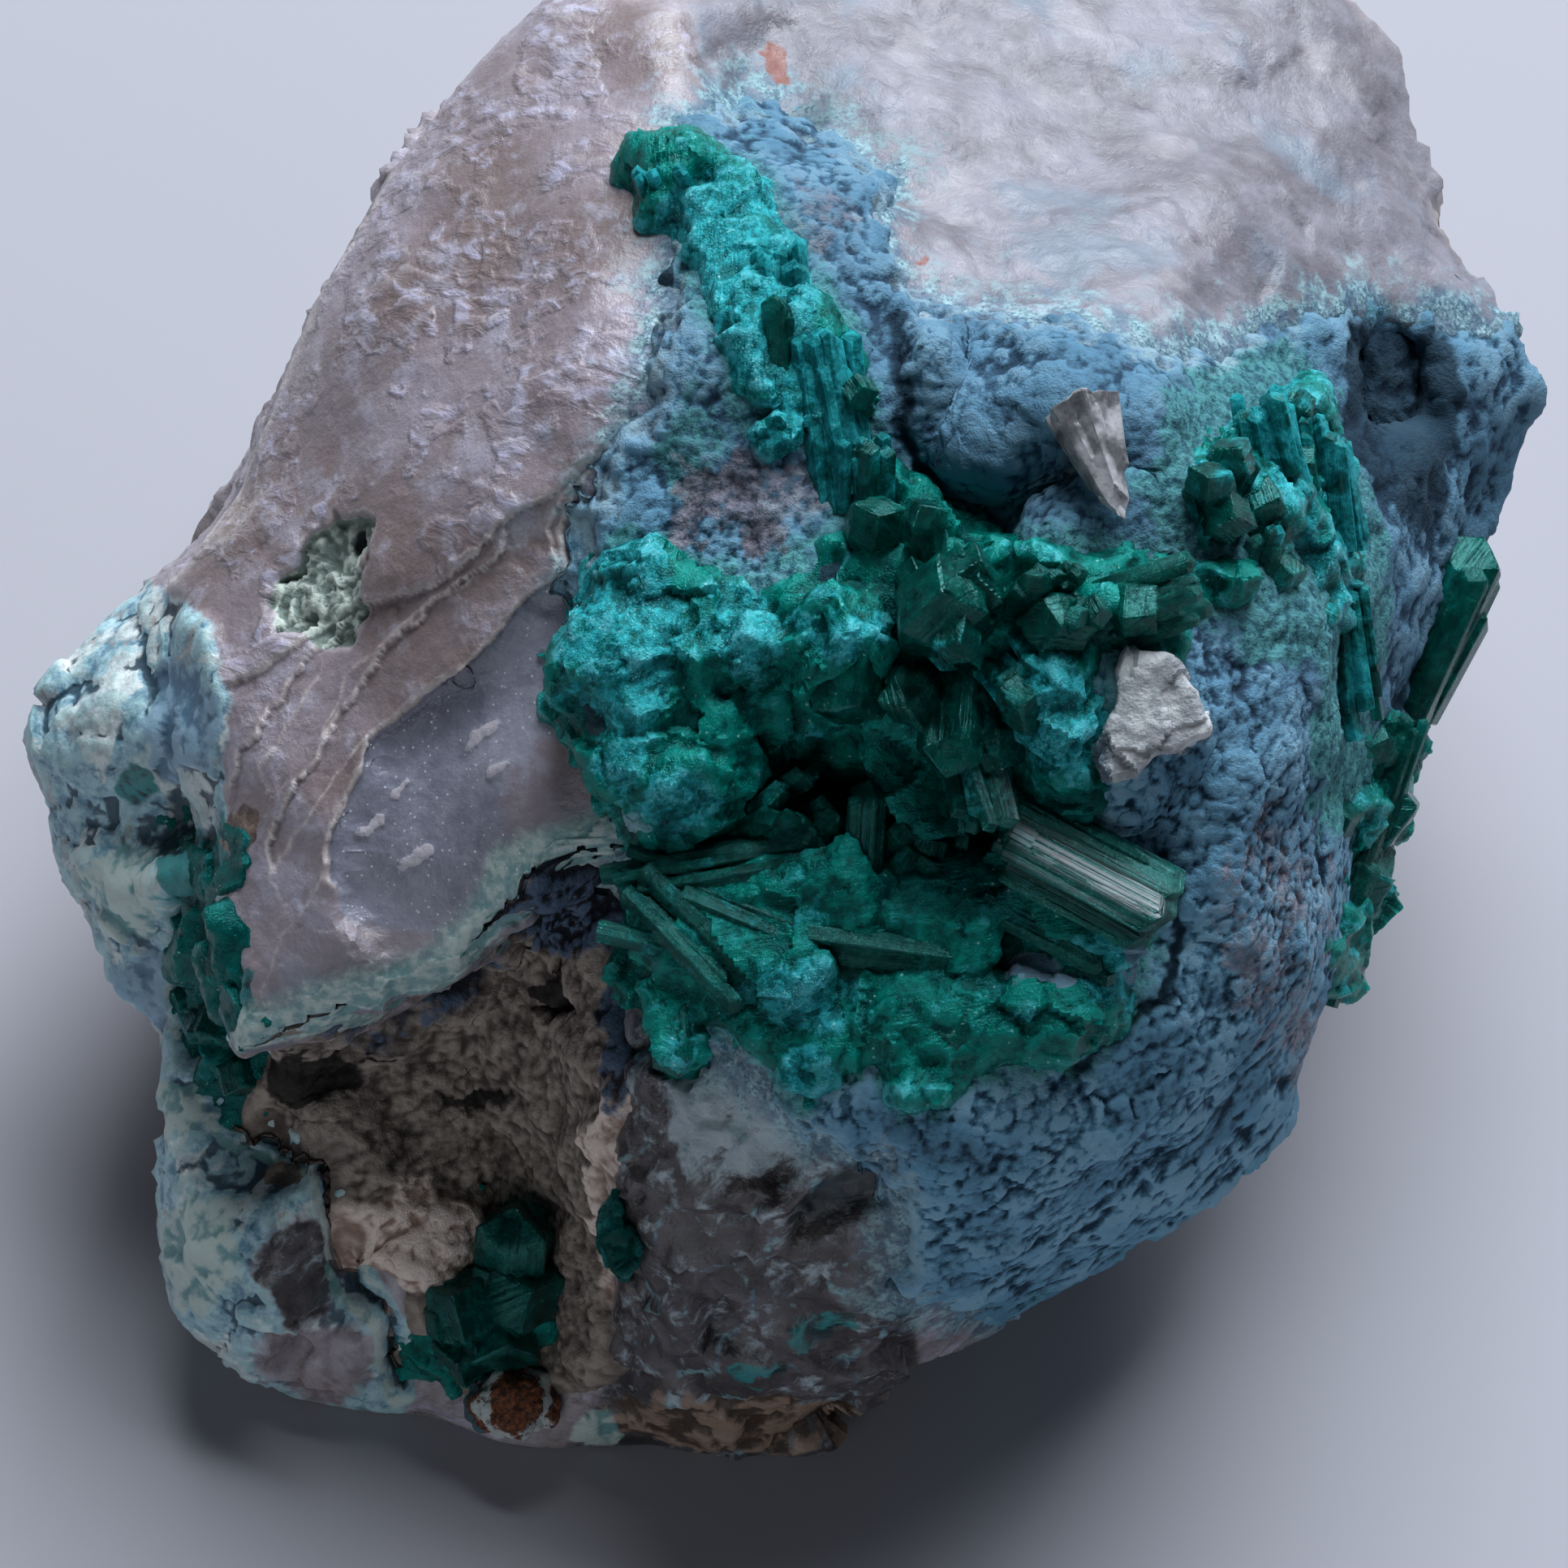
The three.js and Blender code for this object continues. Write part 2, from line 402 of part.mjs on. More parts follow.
// The smooth quartz plate takes the upper left of the show face.
function isPlate(point) {
  const [u, v] = onFace(point);
  return isFront(point) && u < plateRight && v > u * plateSlope + plateFoot;
}

// The middle of the show face is hidden by crystals.
function isCovered(point) {
  const [u, v] = onFace(point);
  return isFront(point) && Math.hypot(u - coveredCentre[0], v - coveredCentre[1]) < coveredRadius;
}

function edgeLimit(point) {
  if (isPlate(point)) return plateEdge;
  if (isCovered(point)) return coveredEdge;
  return isFront(point) ? crustEdge : backEdge;
}

// Depth of weathering: the plate is smooth, the crust and the lobes are rougher.
function weathering(point) {
  const faceDepth = isPlate(point) ? plateRoughness : crustRoughness;
  const reach = isFront(point) ? faceReach : hiddenReach;
  const depth = isFront(point) ? faceDepth : hiddenRoughness;
  const broad = point.clone().divideScalar(reach);
  const finer = point.clone().divideScalar(finerReach);
  return depth * (noise.noise(...broad.toArray()) + finerShare * noise.noise(...finer.toArray()));
}

function knobHeight(point) {
  let height = 0;
  for (const [u, v, w, radius, rise] of knobs) {
    const share = point.distanceTo(place(u, v, w)) / (radius * knobSkirt);
    if (share < 1) height = Math.max(height, rise * Math.sqrt(1 - share * share));
  }
  return height;
}

function controlPoints() {
  const groups = [
    upperPlate, lowerPlate, underLip, pocketFloor, leftLobes, lowerLeftLobe, bottomRim, smokyQuartz,
    lowerCrust, lowerRightRim, aroundChip, blueHollow, upperMiddle, upperRight, rightBlock, rightFlank,
    underCrystals, lowerHollow, topEdge,
  ];
  const points = groups.flat().map(([u, v, w]) => place(u, v, w));
  for (const [x, y, z] of [...hiddenSides, ...restingFace]) points.push(new THREE.Vector3(x, y, z));
  return points;
}

// The control points are looked at from the core: the hull of their directions says which ones are
// neighbours, and so gives a closed skin through them all.
function coarseSkin(points) {
  const directions = points.map((point) => point.clone().sub(core).normalize());
  const indexOf = new Map(directions.map((direction, i) => [direction, i]));
  const hull = new ConvexHull().setFromPoints(directions);
  const faces = [];
  for (const face of hull.faces) {
    const corners = [];
    let edge = face.edge;
    do {
      corners.push(indexOf.get(edge.head().point));
      edge = edge.next;
    } while (edge !== face.edge);
    for (let i = 1; i + 1 < corners.length; i += 1) faces.push([corners[0], corners[i], corners[i + 1]]);
  }
  return { points, faces };
}

function cornerNormals({ points, faces }) {
  const normals = points.map(() => new THREE.Vector3());
  for (const [a, b, c] of faces) {
    const first = points[b].clone().sub(points[a]);
    const second = points[c].clone().sub(points[a]);
    const normal = first.cross(second);
    for (const corner of [a, b, c]) normals[corner].add(normal);
  }
  return normals.map((normal) => normal.normalize());
}

// A point half way along an edge, bulged to follow the two corners' slopes.
function roundedMiddle(a, b, normalA, normalB) {
  const middle = a.clone().add(b).multiplyScalar(0.5);
  const agreement = Math.max(0, normalA.dot(normalB));
  const fallA = middle.clone().sub(a).dot(normalA);
  const fallB = middle.clone().sub(b).dot(normalB);
  return middle
    .addScaledVector(normalA, -edgeBulge * agreement * fallA)
    .addScaledVector(normalB, -edgeBulge * agreement * fallB);
}

// Every edge longer than its limit is halved, and each triangle is parted to match.
function refined(skin) {
  const { points, faces } = skin;
  const normals = cornerNormals(skin);
  const middles = new Map();
  const middleOf = (a, b) => {
    const key = a < b ? `${a},${b}` : `${b},${a}`;
    if (!middles.has(key)) {
      const middle = points[a].clone().add(points[b]).multiplyScalar(0.5);
      const long = points[a].distanceTo(points[b]) > edgeLimit(middle);
      const rounded = long ? roundedMiddle(points[a], points[b], normals[a], normals[b]) : null;
      middles.set(key, rounded ? points.push(rounded) - 1 : null);
    }
    return middles.get(key);
  };
  const parted = [];
  for (const corners of faces) {
    const splits = corners.map((corner, i) => middleOf(corner, corners[(i + 1) % 3]));
    const count = splits.filter((middle) => middle !== null).length;
    const start = count === 2
      ? splits.findIndex((middle, i) => middle !== null && splits[(i + 1) % 3] !== null)
      : Math.max(0, splits.findIndex((middle) => middle !== null));
    const [a, b, c] = [0, 1, 2].map((i) => corners[(start + i) % 3]);
    const [ab, bc, ca] = [0, 1, 2].map((i) => splits[(start + i) % 3]);
    if (count === 0) parted.push([a, b, c]);
    if (count === 1) parted.push([a, ab, c], [ab, b, c]);
    if (count === 2) parted.push([ab, b, bc], [a, ab, bc], [a, bc, c]);
    if (count === 3) parted.push([a, ab, ca], [ab, b, bc], [ca, bc, c], [ab, bc, ca]);
  }
  return { skin: { points, faces: parted }, changed: middles.size > 0 && parted.length > faces.length };
}

function skinGeometry({ points, faces }) {
  const geometry = new THREE.BufferGeometry().setFromPoints(points);
  geometry.setIndex(faces.flat());
  return geometry;
}

const rough = coarseSkin(controlPoints());
let skin = { points: rough.points.map((point) => point.clone()), faces: rough.faces };
for (let pass = 0; pass < refiningPasses; pass += 1) {
  const result = refined(skin);
  skin = result.skin;
  if (!result.changed) break;
}
const skinNormals = cornerNormals(skin);
const weathered = skin.points.map((point, i) => {
  const rise = weathering(point) + knobHeight(point);
  return point.clone().addScaledVector(skinNormals[i], rise);
});
const weatheredNormals = cornerNormals({ points: weathered, faces: skin.faces });

// The skin moved outwards by a distance, as a solid.
function grownStone(distance) {
  const points = weathered.map((point, i) => point.clone().addScaledVector(weatheredNormals[i], distance));
  return solidOf(skinGeometry({ points, faces: skin.faces }));
}

// A simpler skin through every so many control points, drawn in towards the core by a share of the way.
function innerStone(share, every) {
  const kept = rough.points.filter((point, i) => i % every === 0);
  return solidOf(skinGeometry(coarseSkin(kept.map((point) => point.clone().lerp(core, share)))));
}

// ---------------------------------------------------------------- cutting the stone

const belowTable = new THREE.BoxGeometry(200, 200, 40).translate(0, 0, -20);
const recess = solidOf(new ConvexGeometry(recessCorners.map((corner) => place(...corner))));
const stone = grownStone(0).subtract(solidOf(belowTable)).subtract(recess);

// A broken step: inside the outline the surface lies lower by the step's height.
function stepCut(outline, height) {
  const above = throughFace(outline, stepDepth);
  const lowered = stone.translate(...outOfFace.clone().multiplyScalar(-height).toArray());
  return above.subtract(lowered);
}

// A mineral that coats the stone inside an outline, and the room that it takes from the quartz.
function coating(outline, depths, share, every) {
  const layer = stone.intersect(throughFace(outline, depths)).subtract(innerStone(share, every));
  const roomDepths = [depths[0] - gap, depths[1]];
  const room = throughFace(widened(outline, gap), roomDepths).subtract(innerStone(share + roomShare, every));
  return { layer: largestBody(layer), room };
}

const crust = coating(crustOutline, crustDepth, crustThickness, 3);
const clay = coating(clayOutline, clayDepth, clayThickness, 1);

function quartzBody() {
  const steps = stepCut(plateStepOutline, plateStep)
    .add(stepCut(glassStepOutline, plateStep + glassStep))
    .add(stepCut(greenPit, pitDepth));
  return largestBody(stone.subtract(steps).subtract(crust.room).subtract(clay.room));
}

// ---------------------------------------------------------------- crystals as solids

// A six-sided prism with an end of three faces, each standing on every other side's edge.
function crystal([u, v, w, du, dv, dw, radius, length], turn) {
  const tip = place(u, v, w);
  const axis = leaning(du, dv, dw);
  const side = new THREE.Vector3(0, 0, 1).cross(axis).normalize();
  const front = axis.clone().cross(side);
  const points = [tip];
  for (let corner = 0; corner < 6; corner += 1) {
    const angle = corner * Math.PI / 3 + turn;
    const drop = (corner % 2 === 0 ? 1 : capAlternate) * capSlope * radius;
    const out = side.clone().multiplyScalar(Math.cos(angle) * radius)
      .addScaledVector(front, Math.sin(angle) * radius);
    points.push(tip.clone().add(out).addScaledVector(axis, -drop));
    points.push(tip.clone().add(out).addScaledVector(axis, -length));
  }
  return solidOf(new ConvexGeometry(points));
}

const stoneWithGap = grownStone(gap).add(stone);
const stoneUnderGrains = grownStone(gap + bedThickness);

// The room that a crystal takes from its neighbours: the crystal with the gap all round.
function roomOf(entry, turn) {
  return crystal(entry.with(6, entry[6] + gap).with(7, entry[7] + gap), turn);
}

// Crystals grown together on a grainy bed, trimmed where they meet the stone.
function crystalGroup(crystals, bedOutline) {
  let group = stoneUnderGrains.intersect(throughFace(bedOutline, bedDepths));
  crystals.forEach((entry, i) => {
    group = group.add(crystal(entry, i * turnStep));
  });
  return largestBody(group.subtract(stoneWithGap));
}

function looseCrystal(entry, turn) {
  return largestBody(crystal(entry, turn).subtract(stoneWithGap));
}

function plateBetween(outline, depths) {
  return largestBody(throughFace(outline, depths).subtract(stoneWithGap));
}

// The round brown nodule, or with a margin the room that it takes from its neighbours.
function noduleBall(margin) {
  const ball = new THREE.IcosahedronGeometry(1, 1);
  const positions = ball.attributes.position;
  const centre = place(...nodulePlace);
  for (let i = 0; i < positions.count; i += 1) {
    const point = new THREE.Vector3().fromBufferAttribute(positions, i);
    const waves = point.clone().multiplyScalar(noduleWaves);
    const bulge = 1 + noduleBulge * noise.noise(...waves.toArray());
    const moved = centre.clone()
      .addScaledVector(acrossFace, point.x * (noduleSize[0] * bulge + margin))
      .addScaledVector(upFace, point.y * (noduleSize[1] * bulge + margin))
      .addScaledVector(outOfFace, point.z * (noduleSize[2] * bulge + margin));
    positions.setXYZ(i, moved.x, moved.y, moved.z);
  }
  return solidOf(ball);
}

// ---------------------------------------------------------------- the specimen

const quartzGrey = new THREE.MeshStandardMaterial({ color: 0x9f98a3, roughness: 0.35, metalness: 0 });
const dustyBlue = new THREE.MeshStandardMaterial({ color: 0x4d7089, roughness: 0.9, metalness: 0 });
const clayTan = new THREE.MeshStandardMaterial({ color: 0x8d6f5b, roughness: 0.95, metalness: 0 });
const emerald = new THREE.MeshStandardMaterial({ color: 0x0b7a5c, roughness: 0.15, metalness: 0 });
const chalk = new THREE.MeshStandardMaterial({ color: 0xb9bab8, roughness: 0.7, metalness: 0 });
const clearQuartz = new THREE.MeshStandardMaterial({ color: 0xc9ccd0, roughness: 0.1, metalness: 0 });
const rustBrown = new THREE.MeshStandardMaterial({ color: 0x6b3d22, roughness: 0.8, metalness: 0 });

const specimen = new THREE.Group();

function addPiece(name, solid, material) {
  const mesh = new THREE.Mesh(geometryOf(solid), material);
  mesh.name = name;
  specimen.add(mesh);
}

const chipRoom = throughFace(widened(chipOutline, gap), [chipDepth[0] - gap, chipDepth[1] + chipHeadroom]);
const middleCrystals = [...ridgeCrystals, ...mainCrystals, ...turquoiseCrystals, ...hollowCrystals];
const cluster = crystalGroup(middleCrystals, clusterOutline)
  .subtract(chipRoom)
  .subtract(roomOf(quartzPrism, pointTurn));
const rim = crystalGroup(rimCrystals, rimOutline).subtract(roomOf(edgePrism, edgeTurn));
const pocket = crystalGroup(pocketCrystals, pocketOutline).subtract(noduleBall(gap));
const flank = crystalGroup(flankCrystals, flankOutline);
const flankRoom = crystalGroup(
  flankCrystals.map((entry) => entry.with(6, entry[6] + gap).with(7, entry[7] + gap)),
  widened(flankOutline, gap),
);

addPiece('quartz_matrix', quartzBody(), quartzGrey);
addPiece('blue_crust', crust.layer, dustyBlue);
addPiece('clay_lining', clay.layer, clayTan);
addPiece('crystal_cluster', largestBody(cluster.subtract(flankRoom)), emerald);
addPiece('crystals_flank', flank, emerald);
addPiece('crystals_rim', largestBody(rim), emerald);
addPiece('crystal_edge', looseCrystal(edgePrism, edgeTurn), emerald);
addPiece('crystals_pocket', largestBody(pocket), emerald);
addPiece('crystals_left', crystalGroup(leftCrystals, leftOutline), emerald);
addPiece('crystal_vein', plateBetween(veinOutline, veinDepths), emerald);
addPiece('quartz_chip', plateBetween(chipOutline, chipDepth), chalk);
addPiece('quartz_point', looseCrystal(quartzPrism, pointTurn), clearQuartz);
addPiece('brown_nodule', largestBody(noduleBall(0).subtract(stoneWithGap)), rustBrown);

export default specimen;
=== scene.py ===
"""A mineral specimen: emerald-green prisms and a knobbly blue crust on a broken block of quartz.

Every length in the tables below is in millimetres; the finished pieces are in metres. Places on the show
face are [u, v, w]: u to the right, v up the face and w out of it.
"""

import math
import random

import bpy
import numpy as np
from mathutils import Matrix, Vector, noise


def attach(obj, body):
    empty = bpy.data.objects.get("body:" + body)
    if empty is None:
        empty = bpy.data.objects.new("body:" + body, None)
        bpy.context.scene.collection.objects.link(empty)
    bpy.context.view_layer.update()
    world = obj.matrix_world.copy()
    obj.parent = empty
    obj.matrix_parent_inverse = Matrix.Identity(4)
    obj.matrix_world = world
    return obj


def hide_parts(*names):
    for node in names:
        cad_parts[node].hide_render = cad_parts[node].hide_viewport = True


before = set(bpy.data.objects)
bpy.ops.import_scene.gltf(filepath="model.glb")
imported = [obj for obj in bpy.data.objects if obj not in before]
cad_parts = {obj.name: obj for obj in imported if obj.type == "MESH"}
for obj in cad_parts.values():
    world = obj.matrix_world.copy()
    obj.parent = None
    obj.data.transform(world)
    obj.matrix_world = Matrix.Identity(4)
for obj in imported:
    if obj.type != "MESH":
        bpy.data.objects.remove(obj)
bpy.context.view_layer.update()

bl_info = {
    "name": "Crystal specimen on quartz",
    "version": (1, 0, 0),
    "blender": (4, 5, 0),
    "location": "View3D > Sidebar > Specimen",
    "description": "Dresses a stone with quartz, blue crust, clay and green crystals",
    "category": "Mesh",
}

MM = 0.001

# ------------------------------------------------------------------ the show face's frame

FACE_RISE = math.radians(55)          # how far the show face's normal rises
FACE_TURN = math.radians(35)          # turn about X that lays the Y axis up the face
FACE_CENTRE = np.array([0.0, -18.9, 33.0])
FLANK_REACH = 330.0                   # the flanks lean outwards from a point this far before the face
ACROSS = np.array([1.0, 0.0, 0.0])
UP = np.array([0.0, math.sin(FACE_RISE), math.cos(FACE_RISE)])
OUT = np.array([0.0, -math.cos(FACE_RISE), math.sin(FACE_RISE)])

# ------------------------------------------------------------------ outlines on the face, [u, v]

CRUST_OUTLINE = [
    (-4.9, 29.5), (-4.9, 24), (-6, 17.4), (-8.3, 13), (-9.5, 5.9), (-8.8, 2.4), (-6.4, -2.3),
    (-7, -4.8), (-6.3, -8.4), (-3.5, -11.4), (1.2, -15.6), (4.3, -16.8), (5.2, -20), (4.8, -22.6),
    (10.2, -23.8), (22.6, -16.2), (26, -9.4), (30, 0), (32.6, 12), (34.5, 16), (33, 20.4),
    (28.6, 20.6), (24.4, 21.2), (21.2, 20.2), (17.3, 18.9), (12.4, 20.6), (6.3, 21), (4.6, 23.6),
    (5, 26.4), (2.4, 28.4), (-0.4, 30.2),
]
CRUST_BACK = -23.0
RECESS_FLOOR = -13.8                  # how far in the recess at the right is filled with crust, at u = 26
CLAY_OUTLINE = [
    (-24, -13), (-20.2, -11.2), (-17, -10.4), (-14.2, -9.2), (-12.2, -6.8), (-11, -4.9), (-8.4, -4.1),
    (-7, -5.8), (-7.2, -9), (-6.5, -14.5), (-7.6, -17.4), (-7, -22.5), (-7, -25.4), (-8, -27),
    (-13.5, -27.4), (-16, -26), (-17.6, -21.5), (-19, -21), (-19.6, -16.6), (-23.6, -14.6),
]
CLAY_BACK = -24.0
CLUSTER_OUTLINE = [
    (-7.8, 27), (-5.6, 28.4), (-1, 26.8), (1, 23), (3.6, 18.6), (4, 14.6), (6, 13), (9.8, 10.9),
    (20.4, 10.4), (20.8, 8), (14.6, 6.6), (13.6, -2), (16.2, -5), (15.6, -9.6), (13.4, -12.2),
    (8, -13), (5.2, -14.4), (4, -12.4), (0.8, -14.2), (-3, -10.8), (-5.6, -12), (-6.8, -5),
    (-6.6, -2), (-10.6, 3.6), (-8.8, 8.8), (-7, 11), (-1, 8.8), (2.6, 11.6), (2.2, 14.6), (-1.8, 16),
    (-4.3, 22), (-5, 24.4),
]
FLANK_OUTLINE = [
    (17.9, 15.8), (20.6, 15.8), (22, 18.4), (23.6, 17.4), (24.4, 12.4), (25.4, 9), (25, 6.4),
    (23.2, 6.4), (22.4, 9.6), (18, 12.2),
]
RIM_OUTLINE = [
    (25.4, 4), (28.2, 3.6), (28.8, -1), (26.6, -7.4), (23, -9.8), (23.4, -6.8), (24.4, -2),
]
POCKET_OUTLINE = [
    (-13.4, -17.4), (-10.6, -17.6), (-9.8, -20.8), (-9, -23), (-10.4, -25), (-12.4, -26), (-13.8, -27),
    (-16, -25.6), (-16.6, -23), (-14.4, -21.2), (-13, -20.6),
]
LEFT_OUTLINE = [
    (-27.3, -1.6), (-24.9, -2.2), (-24.4, -6.4), (-24, -10.6), (-22.8, -14), (-24.6, -14.6),
    (-26.6, -12.4), (-26.9, -7), (-26.2, -4.6),
]
BED_BACK = -21.0

# Marks of the quartz: cracks, ledges and the regions between them.
CRACK = [(-5.4, 20.4), (-6.5, 17.6), (-7.2, 16), (-8.3, 14.5), (-10, 12.9), (-12.3, 11.6), (-14, 9.8),
         (-15.5, 8.6), (-18.7, 7.9), (-20.8, 6.6), (-24, 4.6)]
BELOW_CRACK = CRACK + [(-26, 3.6), (-27, -14), (-14, -16), (0, -4), (0, 18)]
LEDGE = [(-8.0, 14.7), (-9.2, 13), (-10, 11), (-9.8, 9.5), (-10.3, 8.8), (-11.5, 8), (-12.3, 6.8),
         (-13.8, 5.2), (-15, 4.6), (-17, 3), (-18.2, 2), (-18.6, 0.5), (-19.6, -1.2), (-20.2, -2.5),
         (-20.1, -4)]
GLASSY_FACE = LEDGE + [(-19.2, -5.8), (-15.6, -6.6), (-12, -4.6), (-9, -2.4), (-6.4, 0.4), (-7.6, 4),
                       (-8.6, 9)]
LIP = [(-24.4, -12), (-20, -10.5), (-14.5, -8.7), (-12.4, -5.9), (-11.6, -4.1), (-9.5, -3.4), (-6.6, -2)]
GREEN_PIT = [(-23.3, 8.3), (-21.4, 10.3), (-19.8, 11.9), (-18.2, 11.4), (-18.4, 9.4), (-18.6, 6.2),
             (-20.6, 5.9), (-22.2, 6.8)]
LEFT_LOBES = [(-25, 7.4), (-24.4, 4), (-24.8, 0), (-24.4, -6), (-24.2, -12), (-28, -15), (-40, -16),
              (-40, 9), (-28, 9)]
LOWER_LOBE = [(-24.4, -13), (-19.4, -16), (-18, -21), (-16.4, -24), (-16, -27), (-20, -32), (-34, -30),
              (-34, -13)]
SMOKY_PART = [(-6.6, -10), (-2, -12), (1.2, -15.6), (4.3, -16.8), (5.4, -20), (6, -24), (6, -32),
              (-12, -34), (-8, -27), (-7, -22), (-7.4, -16)]
SMOKY_HOLLOW = [(4.8, -16.4), (1.6, -17.4), (0.2, -19), (0.4, -20.4), (2.6, -19.6), (4.6, -18.6)]
UPPER_RIGHT = [(-4.6, 29), (5, 27), (4.6, 23.6), (6.3, 21), (12.4, 20.6), (17.3, 18.9), (21.2, 20.2),
               (34, 20), (40, 45), (-4, 45)]

STEP_EDGES = [
    [(-12.5, 10.2), (-14.1, 8.7), (-16.3, 7.5), (-18.4, 5.4), (-19.4, 4.5), (-20.6, 2.2)],
    [(-16.4, 3.6), (-18.2, 2.1), (-19.8, 0.5), (-21.6, -1.9), (-22.8, -4)],
    [(-20.4, 5.2), (-21.5, 3.64), (-23.4, 0.8), (-23.1, -0.4)],
    [(-19.8, -2.4), (-20.6, -4.6), (-22.4, -7.2), (-23.2, -9.6)],
]
# Splinters on the glassy face: their middles and half lengths, and the way they all lie.
SPLINTERS = [(-13.6, 2.2, 0.9), (-13, 0.6, 0.7), (-17.2, -0.2, 0.6), (-18.3, -1.9, 0.6), (-16.5, -3.4, 1.1)]
SPLINTER_WAY = (0.74, 0.67)
RECESS_SHADE = [(24, 20.6), (29.4, 20.2), (29.8, 17), (29, 13), (27.6, 10.4), (25.8, 12.6), (24, 16)]
TEAL_FLANK = [(16.6, 17.6), (22, 19.8), (25, 15), (26.4, 9), (26, 3), (24.4, -3), (22.6, -1), (22.6, 5),
              (19.4, 5.4), (17.6, 9), (15, 12.6)]
# Where the painted reflection lies on the striated crystals.
GLARE_BAND = [(10.2, -2.6), (13.6, -4.3), (17.2, -6.4)]
DARK_GAP = [(-24.6, -15), (-20.2, -16.4), (-19.6, -19.5), (-19, -22.3), (-17.4, -23.4), (-16.8, -26.6)]

# ------------------------------------------------------------------ crystals
# Each crystal: its tip's place, the way it leans (right, up, out), its radius, its length and how
# frosty it is, from 0, clear, to 1.

RIDGE_CRYSTALS = [
    (-5.8, 26, 0.2, -0.3, 0.4, 1, 1.6, 4, 0.75), (-2.6, 21.4, 3.6, -0.2, 0.1, 1, 1.3, 5, 0.85),
    (-0.4, 21.6, 4.8, -0.05, 1, 0.25, 0.75, 4.4, 0.1), (0.6, 17, 5.2, 0.1, -0.1, 1, 1.6, 5, 0.9),
    (3.5, 17.5, 6, 0.2, 0.2, 1, 0.85, 4, 0.15), (4.2, 11.8, 8.2, 0.1, 0.2, 1, 1.4, 6, 0.15),
]
MAIN_CRYSTALS = [
    (6, 12.3, 9.4, -0.1, 0.6, 1, 0.95, 6, 0.05), (7, 8.5, 12.4, 0, 0.25, 1, 2.2, 8, 0.0),
    (8.7, 9.9, 11, 0.5, 0.5, 1, 1.2, 6, 0.05), (7.7, 6.2, 12, 0.1, -0.2, 1, 1.2, 7, 0.4),
    (12.3, 6.9, 11.6, 0.1, -0.1, 1, 1.6, 7.5, 0.1), (16.4, 7.4, 10.2, 0.6, -0.2, 0.8, 1.3, 6.4, 0.2),
    (12.3, 4.3, 11.4, 0.2, -0.1, 1, 1.6, 6, 0.75), (12.7, 1.8, 10.8, 0.3, -0.4, 1, 1.5, 6, 0.7),
    (10.4, 3.4, 11, -0.2, -0.2, 1, 1.4, 6, 0.35), (9.6, 0.6, 8.8, 0.2, -0.6, 0.7, 1.5, 6, 0.3),
    (7.2, 0.2, 9, -0.1, -0.9, 0.5, 1.5, 6, 0.1), (5.5, 3.2, 9.6, -0.1, -0.4, 1, 1.4, 6, 0.15),
    (2.9, 6.8, 9.8, 0, 0.1, 1, 2.3, 6.5, 0.7), (0.8, 5, 8.6, -0.3, -0.2, 1, 1.5, 5.5, 0.6),
    (3.3, 3.4, 9, 0.2, -0.6, 1, 2, 6, 0.2), (-1.6, 6.5, 8, -0.1, 0.2, 1, 1.6, 5, 0.7),
    (-3.9, 5.4, 7.4, -0.2, 0, 1, 1.5, 5, 0.7),
]
TURQUOISE_CRYSTALS = [
    (-6.8, 9.8, 6.6, -0.2, 0.3, 1, 1.6, 4, 0.85), (-7.6, 7.2, 6.6, -0.3, 0, 1, 1.7, 4, 0.85),
    (-8.3, 4.2, 6.4, -0.4, -0.2, 1, 1.4, 4, 0.9), (-10.3, 3.9, 5.4, -0.5, 0.1, 1, 0.8, 3, 0.9),
    (-6.4, 3, 7.4, -0.1, -0.1, 1, 1.7, 4.5, 0.75), (-5, -0.6, 7, 0, -0.5, 1, 1.6, 5, 0.65),
]
HOLLOW_CRYSTALS = [
    (3.8, 0.2, 5.8, 0.05, 1, 0.35, 0.9, 6, 0.1), (0.9, -8.8, 6.4, 0, -0.2, 1, 1.4, 4.5, 0.75),
    (9, -11.4, 5.6, 0.9, -0.3, 0.3, 1.3, 6, 0.3),
    (14.4, -7.6, 6.2, 0.4, 0.1, 1, 1.4, 5, 0.8), (0.6, -13.8, 4.6, 0.1, -1, 0.4, 0.9, 3.4, 0.85),
    (5.4, -14.6, 5.4, -0.1, -1, 0.3, 1.1, 4, 0.8), (7.4, -13.4, 5.8, 0.2, -0.6, 1, 1, 3.4, 0.5),
    (-4.7, -13, 4.2, 0.1, -1, 0.3, 1.1, 4.8, 0.3), (6.4, -8.6, 5.4, 0.1, 0.1, 1, 1.8, 5.5, 0.3),
    (-2.2, -0.4, 4.2, 0.1, 0.3, 1, 1.3, 5, 0.3), (7, -0.6, 5, 0.1, 0.2, 1, 1.6, 5, 0.1),
]
FLANK_CRYSTALS = [
    (18.7, 13.5, 7.2, -0.1, 0.2, 1, 1.1, 4, 0.42), (19.9, 11.8, 6.6, 0.3, 0, 1, 1.2, 4.5, 0.3),
    (20.1, 14.8, 5.6, 0.3, 0.5, 1, 1.1, 5, 0.45), (21.8, 12.6, 3.6, 0.6, 0.2, 1, 1.2, 5, 0.42),
    (22.6, 17.6, -2, 0.2, 1, 0.5, 1, 5, 0.48), (23.4, 14.2, -0.6, 0.6, 0.3, 1, 1.2, 5.5, 0.45),
    (23.9, 11.2, -0.8, 0.7, 0, 1, 1.3, 6, 0.4), (22.4, 9.2, 3, 0.5, -0.1, 1, 1.2, 5, 0.42),
    (24.7, 7.8, -3.6, 0.8, -0.2, 1, 1.2, 6, 0.45),
]
